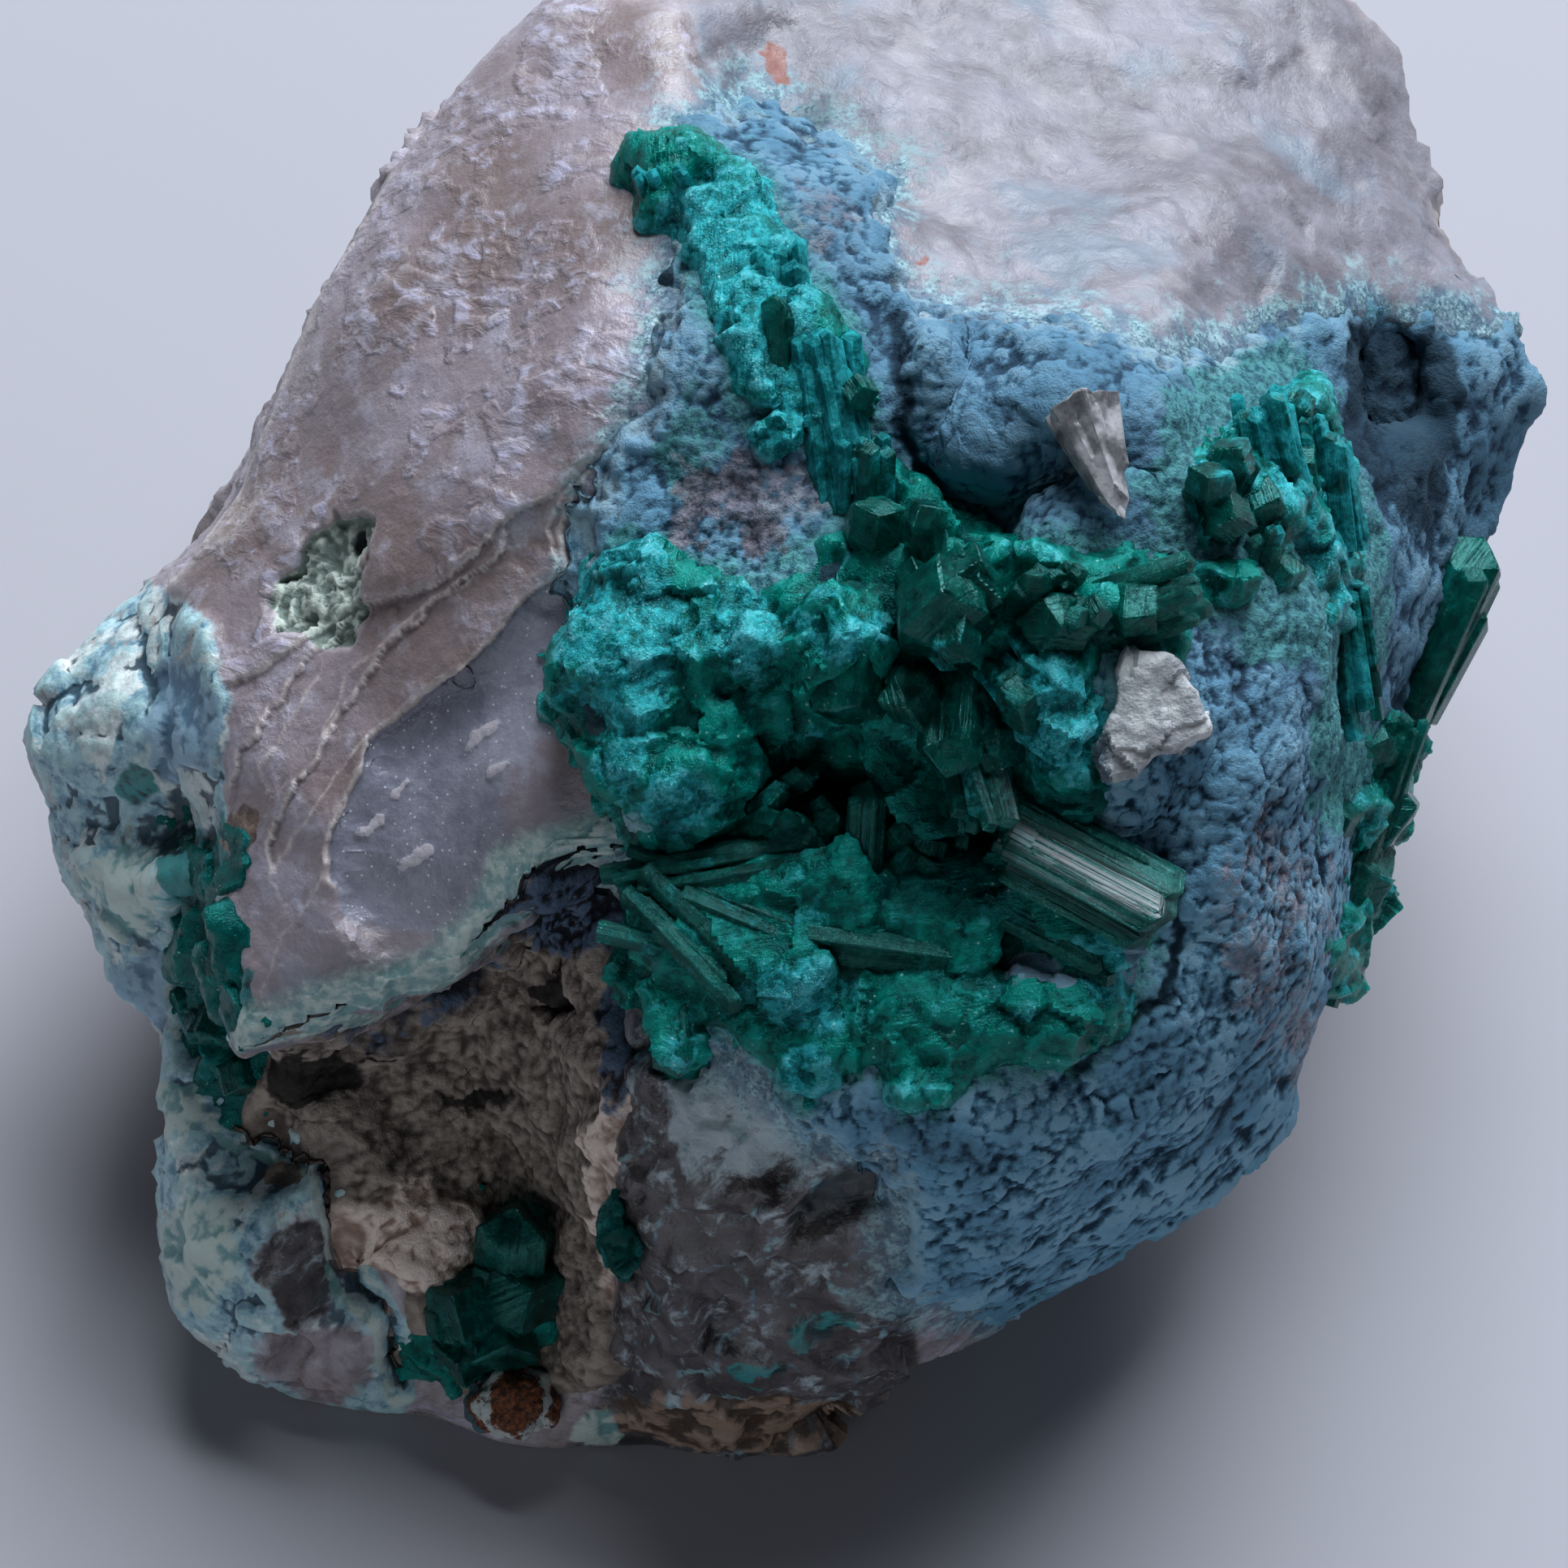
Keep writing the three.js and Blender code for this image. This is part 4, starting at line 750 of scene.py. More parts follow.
def quartz_finish():
    """Lilac-grey quartz: cloudy, glassy on fresh breaks, stained green and blue beside the crust."""
    paint = Paint("quartz")
    broad = paint.clouds(8.0, detail=4)
    middle = paint.clouds(2.2, detail=5, roughness=0.6, distortion=0.3)
    small = paint.clouds(0.7, detail=5, roughness=0.65)
    fine = paint.clouds(0.22, detail=4, roughness=0.7)
    ragged = (middle - 0.5) * 0.9 + (small - 0.5) * 0.7
    crest = paint.mask("crest")

    colour = paint.tones(broad, 0.35, 0.65, (138, 122, 120), (164, 152, 160))
    colour = paint.blend(paint.rise(middle + small * 0.4, 0.68, 0.92) * 0.6, colour, (192, 188, 204))
    crumple = paint.marked("crumple", ragged * 0.8, 0.15, 0.8)
    lying = paint.along((FACE_TURN, 0.0, -0.45), (3.4, 1.0, 1.0))
    flaked = paint.clouds(0.75, detail=3, roughness=0.55, distortion=0.6, places=lying)
    arcs = paint.rise((flaked - 0.5).maths("ABSOLUTE"), 0.035, 0.0)
    broken = paint.clouds(1.1, detail=3, places=lying)
    # Painted sheen and highlights on the ripples: bright lilac patches and thin bright arcs.
    lit_ripple_arcs = arcs * paint.rise(broken, 0.46, 0.58) * (crumple * 0.85 + 0.15)
    sheen = paint.rise(flaked + (broken - 0.5) * 0.7, 0.5, 0.72) * crumple
    colour = paint.blend(sheen * 0.75, colour, (196, 192, 214))
    colour = paint.blend(lit_ripple_arcs * 0.8, colour, (228, 226, 244))
    # Paler on crests, a painted highlight, and darker in crevices, painted shade.
    colour = paint.blend(paint.rise(crest, 0.6, 0.95) * 0.25, colour, (208, 200, 202))
    colour = paint.blend(paint.rise(crest, 0.42, 0.1) * 0.4, colour, (104, 90, 88))
    # Cream ledges and edges, with a painted rim of back light along the plate's left edge.
    cream_and_lit_rim = paint.marked("cream_and_lit_rim", ragged * 0.25, 0.3, 0.8)
    creams = paint.tones(small, 0.35, 0.65, (186, 172, 164), (228, 216, 210))
    colour = paint.blend(cream_and_lit_rim * 0.7, colour, creams)
    glass = paint.marked("glass", ragged * 0.12, 0.35, 0.65)
    slate = paint.tones(broad + small * 0.3, 0.45, 0.85, (118, 120, 136), (180, 180, 194))
    colour = paint.blend(glass * 0.92, colour, slate)
    cloud = paint.marked("cloud", ragged * 0.7, 0.15, 0.9)
    milk = paint.tones(paint.clouds(3.5, detail=5, roughness=0.6), 0.35, 0.65, (104, 100, 107),
        (141, 139, 148))
    milk = paint.blend(paint.rise(paint.clouds(5.0, detail=4), 0.52, 0.68) * 0.6, milk, (116, 138, 154))
    milk = paint.blend(paint.rise(paint.clouds(4.2, detail=4), 0.55, 0.68) * 0.5, milk, (176, 170, 174))
    colour = paint.blend(cloud * 0.85, colour, milk)
    smoke = paint.marked("smoke", ragged * 0.4, 0.3, 0.7)
    smoky = paint.tones(middle, 0.34, 0.7, (24, 20, 20), (84, 78, 79))
    # Pale streaks on the smoky part: partly white veins, partly painted specular streaks.
    swept = paint.along((FACE_TURN, 0.0, 0.9), (2.8, 1.0, 1.0))
    streaks = paint.clouds(1.3, detail=5, roughness=0.65, distortion=0.3, places=swept)
    smoky = paint.blend(paint.rise(streaks + paint.mask("pale") * 0.24, 0.52, 0.72) * 0.9, smoky,
        (190, 208, 214))
    colour = paint.blend(smoke * 0.9, colour, smoky)

    lobe = paint.marked("lobe", ragged * 0.6, 0.3, 0.75)
    parts = paint.clouds(3.0, detail=5, roughness=0.6, distortion=0.5)
    others = paint.clouds(2.1, detail=5, roughness=0.6, distortion=0.8)
    zoned = (parts - 0.53).maths("ABSOLUTE")
    lobes = paint.tones(small * 0.6 + middle * 0.6, 0.42, 0.74, (140, 160, 166), (242, 250, 246))
    blues = paint.tones(small, 0.35, 0.65, (76, 136, 160), (176, 218, 228))
    lobes = paint.blend(paint.rise(parts, 0.55, 0.51) * 0.85, lobes, blues)
    lobes = paint.blend(paint.rise(others, 0.56, 0.66) * 0.7, lobes, (166, 160, 154))
    lobes = paint.blend(paint.rise(zoned, 0.06, 0.02) * 0.85, lobes, (164, 222, 218))
    # Paler on crests, a painted highlight, and dark navy in crevices, painted shade.
    lobes = paint.blend(paint.rise(crest + (small - 0.5) * 0.5, 0.6, 0.95) * 0.5, lobes, (180, 220, 218))
    lobes = paint.blend(paint.rise((zoned - 0.075).maths("ABSOLUTE"), 0.016, 0.004) * 0.6, lobes,
        (8, 52, 70))
    lobes = paint.blend(paint.rise(crest + (small - 0.5) * 0.4, 0.3, 0.04) * 0.9, lobes, (14, 60, 80))
    colour = paint.blend(lobe * 0.95, colour, lobes)
    weathered = paint.mask("weathered")
    ochre = paint.tones(small, 0.35, 0.65, (122, 104, 92), (176, 162, 148))
    colour = paint.blend(weathered * paint.rise(broad + ragged * 0.4, 0.46, 0.64) * 0.75, colour, ochre)
    colour = paint.blend(weathered * paint.rise(streaks, 0.54, 0.68) * 0.6, colour, (212, 206, 210))

    stain = paint.marked("stain", ragged * 1.1, 0.35, 0.95)
    blues = paint.tones(small, 0.4, 0.62, (62, 104, 128), (154, 196, 200))
    colour = paint.blend(stain * 0.8, colour, blues)
    speckle = paint.rise(paint.mask("stain") * 0.9 + (fine - 0.5) * 2.4 + (small - 0.5), 0.78, 1.1)
    colour = paint.blend(speckle * 0.75, colour, (34, 84, 104))
    for name, dull, bright in (
        ("sky", (96, 132, 158), (150, 184, 204)),
        ("teal", (0, 52, 54), (28, 134, 134)),
        ("frosty", (118, 164, 164), (202, 216, 208)),
        ("sand", (78, 62, 50), (160, 134, 114)),
        ("pit", (112, 130, 120), (196, 208, 194)),
    ):
        share = paint.marked(name, ragged * 0.6, 0.35, 0.7)
        # The bright tone lies in random spots and on crests, where it is partly a painted highlight.
        marked = paint.blend(paint.rise(small + (crest - 0.5) * 0.5, 0.35, 0.7), dull, bright)
        colour = paint.blend(share * 0.92, colour, marked)
    # Near black: painted shade in holes, recesses and cracks.
    dark = paint.marked("dark", ragged * 0.3, 0.3, 0.7)
    colour = paint.blend(dark * 0.95, colour, (14, 26, 32))
    rust = paint.marked("rust", ragged * 1.2, 0.45, 0.9)
    colour = paint.blend(rust * 0.9, colour, (138, 72, 52))
    # Painted glints: small white sparkles on the glassy face.
    glass_glints = paint.rise(paint.cells(0.34), 0.2, 0.1) * paint.rise(small, 0.42, 0.56)
    glass_glints = glass_glints.larger(paint.rise(paint.cells(0.6), 0.12, 0.07))
    colour = paint.blend(glass_glints * glass * 0.9, colour, (226, 226, 234))
    chip = paint.marked("chip", ragged * 0.3, 0.4, 0.6)
    colour = paint.blend(chip * 0.85, colour, (206, 198, 204))

    dull = lobe * 0.22 - smoke * 0.14 + cloud * 0.12 + paint.mask("pit") * 0.3 + dark * 0.3 + stain * 0.2
    roughness = paint.rise(small, 0.3, 0.7, 0.2, 0.42) + dull - glass * 0.06
    height = middle * 0.35 + small * 0.4 + fine * 0.14 + (flaked * 0.8 + lit_ripple_arcs * 0.4) * (crumple * 0.9
        + 0.1)
    return paint.finish(paint.shader({
        "Base Color": colour,
        "Roughness": roughness,
        "IOR": QUARTZ_IOR,
        "Subsurface Weight": 0.18,
        "Subsurface Radius": (1.0, 0.85, 0.8),
        "Subsurface Scale": 1.2 * MM,
        "Normal": paint.relief(height, 0.3, 0.8),
    }))


def crust_finish():
    """Dusty blue crust, pale on its knobs and dark between them, partly painted light and shade, stained
    brown on the right.
    """
    paint = Paint("blue_crust")
    fine = paint.clouds(0.16, detail=3, roughness=0.7)
    small = paint.clouds(0.45, detail=4, roughness=0.65)
    middle = paint.clouds(1.6, detail=5, roughness=0.6, distortion=0.4)
    broad = paint.clouds(5.0, detail=3)
    ragged = (middle - 0.5) * 1.2 + (small - 0.5) * 0.6
    top = paint.mask("top")
    crest = paint.mask("crest")
    # Pale on knobs and crests, dark blue between them: partly dust, partly painted highlight and painted
    # shade.
    dust = paint.rise(top * 0.55 + crest * 0.55 + (small - 0.5) * 0.5 + (fine - 0.5) * 0.25, 0.3, 0.8)
    colour = paint.blend(dust, (16, 46, 66), (108, 160, 188))
    # Paler still on the highest knobs: partly dust, partly painted highlight.
    pale = paint.rise(dust, 0.7, 1.0) * paint.rise(broad, 0.42, 0.62)
    colour = paint.blend(pale * 0.6, colour, (150, 188, 206))
    grime = paint.rise(broad + (middle - 0.5), 0.5, 0.3)
    colour = paint.blend(grime * 0.3, colour, (56, 76, 94))
    teal = paint.marked("teal", ragged, 0.42, 0.9)
    teals = paint.tones(small + fine * 0.3, 0.5, 0.75, (8, 84, 86), (96, 176, 172))
    colour = paint.blend(teal * 0.88, colour, teals)
    brown = paint.marked("brown", ragged, 0.45, 0.9)
    browns = paint.tones(small, 0.35, 0.65, (60, 52, 58), (152, 142, 150))
    browns = paint.blend(paint.rise(middle, 0.56, 0.7) * 0.6, browns, (74, 94, 116))
    colour = paint.blend(brown * 0.9, colour, browns)
    colour = paint.blend(paint.mask("high") * 0.4, colour, (60, 84, 106))
    white = paint.marked("white", ragged * 1.1, 0.5, 0.95)
    colour = paint.blend(white * 0.55, colour, (170, 190, 200))
    # Near black: painted shade in crevices, the recess, beside the pocket and under the crystals.
    dark = paint.marked("dark", ragged * 0.35, 0.3, 0.7)
    colour = paint.blend(dark * 0.85, colour, (18, 38, 52))
    bump = paint.relief(fine * 0.5 + small * 0.9, 0.2, 0.9)
    return paint.finish(paint.shader({
        "Base Color": colour,
        "Roughness": 0.95 - brown * 0.35,
        "Specular IOR Level": 0.25,
        "Normal": bump,
    }))


def clay_finish():
    """Tan to pinkish clay with dark holes; painted shade in its holes, under the lip and between knobs,
    painted light on the pink bulge.
    """
    paint = Paint("clay")
    fine = paint.clouds(0.2, detail=4, roughness=0.7)
    small = paint.clouds(0.6, detail=4, roughness=0.6)
    middle = paint.clouds(1.8, detail=4, distortion=0.4)
    ragged = (middle - 0.5) * 0.9 + (small - 0.5) * 0.7
    top = paint.mask("top")
    crest = paint.mask("crest")
    # Paler on knobs and crests, darker between them: painted highlight and painted shade.
    share = paint.rise(top * 0.3 + crest * 0.5 + (small - 0.5) * 0.3, 0.1, 0.8)
    colour = paint.blend(share, (70, 60, 55), (180, 165, 152))
    colour = paint.blend(paint.rise(middle, 0.52, 0.68) * 0.5, colour, (106, 92, 84))
    # Pinkish clay, brightened with painted light on the bulge and the wall, paler on crests.
    pink_and_lit = paint.marked("pink_and_lit", ragged * 0.5, 0.35, 0.8)
    pink_and_lit_tones = paint.tones(crest + (small - 0.5) * 0.5, 0.05, 0.85, (168, 138, 122), (255, 234, 220))
    colour = paint.blend(pink_and_lit * 0.92, colour, pink_and_lit_tones)
    # Navy to near black under the lip and beside the crust: painted shadow and painted shade.
    blue = paint.marked("blue", ragged, 0.4, 0.8)
    blues = paint.tones(crest + (small - 0.5) * 0.5, 0.3, 0.75, (10, 20, 34), (82, 104, 130))
    colour = paint.blend(blue * 0.94, colour, blues)
    # Near black: painted shadow under the lip and painted shade in the holes.
    dark = paint.marked("dark", ragged * 0.5, 0.35, 0.65)
    colour = paint.blend(dark * 0.92, colour, (20, 18, 18))
    bump = paint.relief(fine * 0.5 + small * 0.9, 0.26, 0.95)
    return paint.finish(paint.shader({
        "Base Color": colour,
        "Roughness": 0.92,
        "Specular IOR Level": 0.25,
        "Normal": bump,
    }))


def emerald_colours(paint, frost, small, fine, crest):
    """Emerald where the crystal is clear, turquoise where it is frosted, paler on crests as a painted
    highlight.
    """
    deep = paint.tones(small, 0.32, 0.68, (0, 52, 48), (0, 122, 108))
    # Paler on crests: painted highlight.
    deep = paint.blend(paint.rise(crest, 0.6, 0.95) * 0.4, deep, (20, 150, 138))
    frosted = paint.tones(small + (fine - 0.5) * 0.5, 0.34, 0.66, (0, 94, 98), (48, 174, 182))
    # Frosted parts paler in random spots and on crests: frost, partly painted highlight.
    pale = paint.rise(crest * 0.5 + fine * 0.7 + (small - 0.5), 0.7, 1.05)
    frosted = paint.blend(pale * 0.5, frosted, (112, 186, 194))
    return paint.blend(frost, deep, frosted)


def emerald_finish():
    """Clear emerald prisms with turquoise frost, told apart by each crystal's own frost number."""
    paint = Paint("emerald")
    fine = paint.clouds(0.2, detail=4, roughness=0.7)
    small = paint.clouds(0.9, detail=5, roughness=0.65, distortion=0.6)
    middle = paint.clouds(2.0, detail=4, distortion=0.6)
    lengthwise = paint.node("ShaderNodeMapping", {}, {
        "Vector": paint.node("ShaderNodeUVMap", {"uv_map": "grain"}, {}), "Scale": (40.0, 1.5, 1.0)})
    grooves = paint.node("ShaderNodeTexNoise", {}, {"Vector": lengthwise, "Scale": 1.0, "Detail": 3.0},
                         "Fac")
    crest = paint.mask("crest")
    frost = paint.marked("frost", (middle - 0.5) * 1.3 + (small - 0.5) * 0.5, 0.35, 0.8)
    # Painted reflection: pale grey stripes on the faces that mirror the light.
    painted_glare = paint.mask("painted_glare") * paint.rise(grooves, 0.36, 0.56)
    glints = paint.rise(paint.cells(0.45), 0.15, 0.09) * paint.rise(small, 0.48, 0.6)
    colour = paint.blend(glints * 0.5, emerald_colours(paint, frost, small, fine, crest), (170, 230, 226))
    colour = paint.blend(painted_glare, colour, (190, 208, 212))
    clear = paint.shader({
        "Base Color": paint.tones(small, 0.35, 0.7, (6, 150, 138), (60, 210, 200)),
        "Roughness": paint.rise(small + fine * 0.4, 0.5, 0.9, 0.05, 0.32),
        "IOR": GREEN_IOR,
        "Specular Tint": (0.35, 1.0, 0.95, 1.0),
        "Transmission Weight": 1.0,
        "Normal": paint.relief(grooves * 0.9 + small * 0.5 + fine * 0.3, 0.14, 0.9),
    })
    solid = paint.shader({
        "Base Color": colour,
        "Roughness": 0.14 + frost * 0.26 + fine * 0.14,
        "Specular IOR Level": 0.32,
        "IOR": GREEN_IOR,
        "Specular Tint": GREEN_SHINE,
        "Subsurface Weight": 0.35,
        "Subsurface Radius": (0.1, 1.0, 0.95),
        "Subsurface Scale": 1.4 * MM,
        "Normal": paint.relief(grooves * 0.9 + small * 0.6 + fine * 0.4, 0.17, 0.9),
    })
    surface = paint.node("ShaderNodeMixShader", {}, {0: (0.4 + frost * 0.56).larger(painted_glare), 1: clear,
        2: solid})
    depth = paint.node("ShaderNodeVolumeAbsorption", {}, {"Color": tint(24, 206, 192),
        "Density": GREEN_DEPTH})
    return paint.finish(surface, depth)


def fused_finish():
    """The grown-together green mass that the prisms stand in."""
    paint = Paint("fused_green")
    fine = paint.clouds(0.2, detail=4, roughness=0.7)
    small = paint.clouds(0.8, detail=5, roughness=0.65, distortion=0.5)
    middle = paint.clouds(2.4, detail=4, distortion=0.5)
    fibres = paint.clouds(0.5, detail=3, places=paint.along((FACE_TURN, 0.0, 0.0), (0.6, 7.0, 0.6)))
    crest = paint.mask("crest")
    frost = paint.marked("frost", (middle - 0.5) * 2.2 + (small - 0.5) * 1.3, 0.34, 0.84)
    colour = emerald_colours(paint, frost, small, fine, crest)
    # Darker in crevices: painted shade.
    colour = paint.blend(paint.rise(crest + (small - 0.5) * 0.4, 0.4, 0.1) * 0.55, colour, (0, 44, 46))
    tiny = paint.clouds(0.1, detail=2)
    sparkle = paint.rise(tiny + (middle - 0.5) * 0.5, 0.66, 0.74) * frost
    colour = paint.blend(sparkle * 0.6, colour, (150, 220, 224))
    dust = paint.marked("dust", (middle - 0.5) * 0.6 + (small - 0.5) * 0.5, 0.35, 0.65)
    colour = paint.blend(dust * 0.9, colour, paint.blend(small, (62, 84, 110), (140, 160, 180)))
    # Deep green in clefts and the hollow: painted shade.
    dark = paint.marked("dark", (middle - 0.5) * 0.7, 0.3, 0.7)
    colour = paint.blend(dark * 0.6, colour, (0, 52, 54))
    glints = paint.rise(paint.cells(0.5), 0.16, 0.1) * paint.rise(small, 0.5, 0.6)
    blades = paint.clouds(0.45, detail=3, places=paint.along((FACE_TURN, 0.0, 0.2), (5.0, 0.7, 0.7)))
    height = small * 0.6 + fine * 0.3 + fibres * paint.mask("fibrous") * 1.4 + blades * paint.mask("blades")
    return paint.finish(paint.shader({
        "Base Color": paint.blend(glints * 0.5, colour, (190, 240, 232)),
        "Roughness": 0.1 + frost * 0.26 + small * 0.1 + dust * 0.4 - glints * 0.06,
        "Specular IOR Level": 0.36,
        "IOR": GREEN_IOR,
        "Specular Tint": GREEN_SHINE,
        "Subsurface Weight": 0.3,
        "Subsurface Radius": (0.1, 1.0, 1.0),
        "Subsurface Scale": 1.1 * MM,
        "Normal": paint.relief(height + tiny * 0.25, 0.2, 0.85),
    }))


def chip_finish():
    """A white chip with a bluish rough patch."""
    paint = Paint("white_chip")
    fine = paint.clouds(0.25, detail=4, roughness=0.65)
    middle = paint.clouds(1.1, detail=3)
    colour = paint.tones(middle, 0.35, 0.65, (160, 163, 168), (216, 218, 218))
    blue = paint.marked("blue", (fine - 0.5) * 2.0 + (middle - 0.5) * 0.8, 0.4, 0.8)
    colour = paint.blend(blue * 0.88, colour, (62, 92, 112))
    return paint.finish(paint.shader({
        "Base Color": colour,
        "Roughness": 0.42 + fine * 0.2,
        "IOR": QUARTZ_IOR,
        "Subsurface Weight": 0.3,
        "Subsurface Radius": (1.0, 1.0, 0.9),
        "Subsurface Scale": 0.7 * MM,
        "Normal": paint.relief(fine * 0.9 + middle, 0.22, 0.9),
    }))


def clear_quartz_finish():
    """Clear quartz, faintly smoky."""
    paint = Paint("clear_quartz")
    fine = paint.clouds(0.5, detail=4)
    clear = paint.shader({
        "Base Color": tint(238, 240, 244),
        "Roughness": paint.rise(fine, 0.35, 0.7, 0.03, 0.2),
        "IOR": QUARTZ_IOR,
        "Transmission Weight": 1.0,
        "Normal": paint.relief(fine, 0.1, 0.7),
    })
    milky = paint.shader({
        "Base Color": paint.blend(fine, (136, 128, 130), (224, 226, 230)),
        "Roughness": 0.3 + fine * 0.1,
        "Normal": paint.relief(fine, 0.1, 0.7),
    })
    share = paint.rise(paint.clouds(1.6), 0.4, 0.62, 0.15, 0.85)
    return paint.finish(paint.node("ShaderNodeMixShader", {}, {0: share, 1: clear, 2: milky}))


def nodule_finish():
    """A brown nodule with a white ring."""
    paint = Paint("brown_nodule")
    fine = paint.clouds(0.3, detail=5, roughness=0.7)
    middle = paint.clouds(0.9, detail=3)
    colour = paint.tones(fine, 0.35, 0.65, (30, 20, 16), (150, 84, 46))
    ring = paint.marked("ring", (fine - 0.5) * 2.2 + (middle - 0.5) * 1.6, 0.45, 0.85)
    colour = paint.blend(ring * 0.9, colour, (206, 214, 210))
    rim = paint.marked("rim", (fine - 0.5) + (middle - 0.5), 0.4, 0.8)
    colour = paint.blend(rim * 0.9, colour, (62, 110, 122))
    return paint.finish(paint.shader({
        "Base Color": colour,
        "Roughness": 0.6 + fine * 0.2,
        "Normal": paint.relief(fine, 0.2, 0.9),
    }))


def floor_finish(colour):
    """Plain pale floor."""
    paint = Paint("floor")
    grain = paint.clouds(40.0, detail=3)
    shade = tuple(part * 0.97 for part in colour[:3]) + (1.0,)
    return paint.finish(paint.shader({
        "Base Color": paint.blend(grain, colour, shade),
        "Roughness": 0.85,
        "Specular IOR Level": 0.2,
    }))


# ------------------------------------------------------------------ settings


class SpecimenSettings(bpy.types.PropertyGroup):
    """Sizes and colours that a user would change."""

    ripple_depth: bpy.props.FloatProperty(
        name="Quartz ripples", description="Depth of the ripples on the broken quartz",
        default=0.075 * MM, min=0, unit="LENGTH")
    knob_height: bpy.props.FloatProperty(
        name="Crust knobs", description="Height of the blue crust's large knobs",
        default=0.7 * MM, min=0, unit="LENGTH")
    small_crystals: bpy.props.IntProperty(
        name="Small crystals", description="How many small crystals grow into the green mass",
        default=60, min=0)
    floor_colour: bpy.props.FloatVectorProperty(
        name="Floor", description="Colour of the floor", subtype="COLOR", size=4,
        default=tint(176, 174, 180), min=0, max=1)
    light_power: bpy.props.FloatProperty(
        name="Light", description="Power of the large soft light", default=6.0, min=0, unit="POWER")
    room_light: bpy.props.FloatProperty(
        name="Room", description="Strength of the light from all round", default=0.034, min=0)


# ------------------------------------------------------------------ the quartz


def roughen_hidden(mesh):
    """Broken faces on the back, the sides and the underside, before their mesh is thinned."""
    points = points_of(mesh)
    w = on_face(points)[2]
    slopes = slopes_of(mesh)
    hidden = 1 - soft(slopes @ OUT, -0.1, 0.35) * soft(w, -24, -20)
    wandering = points + 1.6 * np.stack([waves(points, 9, 5), waves(points, 9, 6), waves(points, 9, 7)],
        axis=1)
    height = (1.1 * chips(wandering, 11, 2) + 0.6 * chips(points, 4.5, 3) + 0.25 * chips(points, 1.9, 4)
              + 0.5 * waves(points, 7) + 0.2 * waves(points, 1.8) - 0.2)
    push_out(mesh, points, slopes, hidden * height * soft(points[:, 2], 0.1, 2.0))


def splinter_reach(u, v, splinter, narrow):
    """Distance from the middle of a long splinter: 1 at its outline."""
    middle_u, middle_v, size = splinter
    run = (u - middle_u) * SPLINTER_WAY[0] + (v - middle_v) * SPLINTER_WAY[1]
    side = (v - middle_v) * SPLINTER_WAY[0] - (u - middle_u) * SPLINTER_WAY[1]
    return np.hypot(run / size, side / (narrow * size))


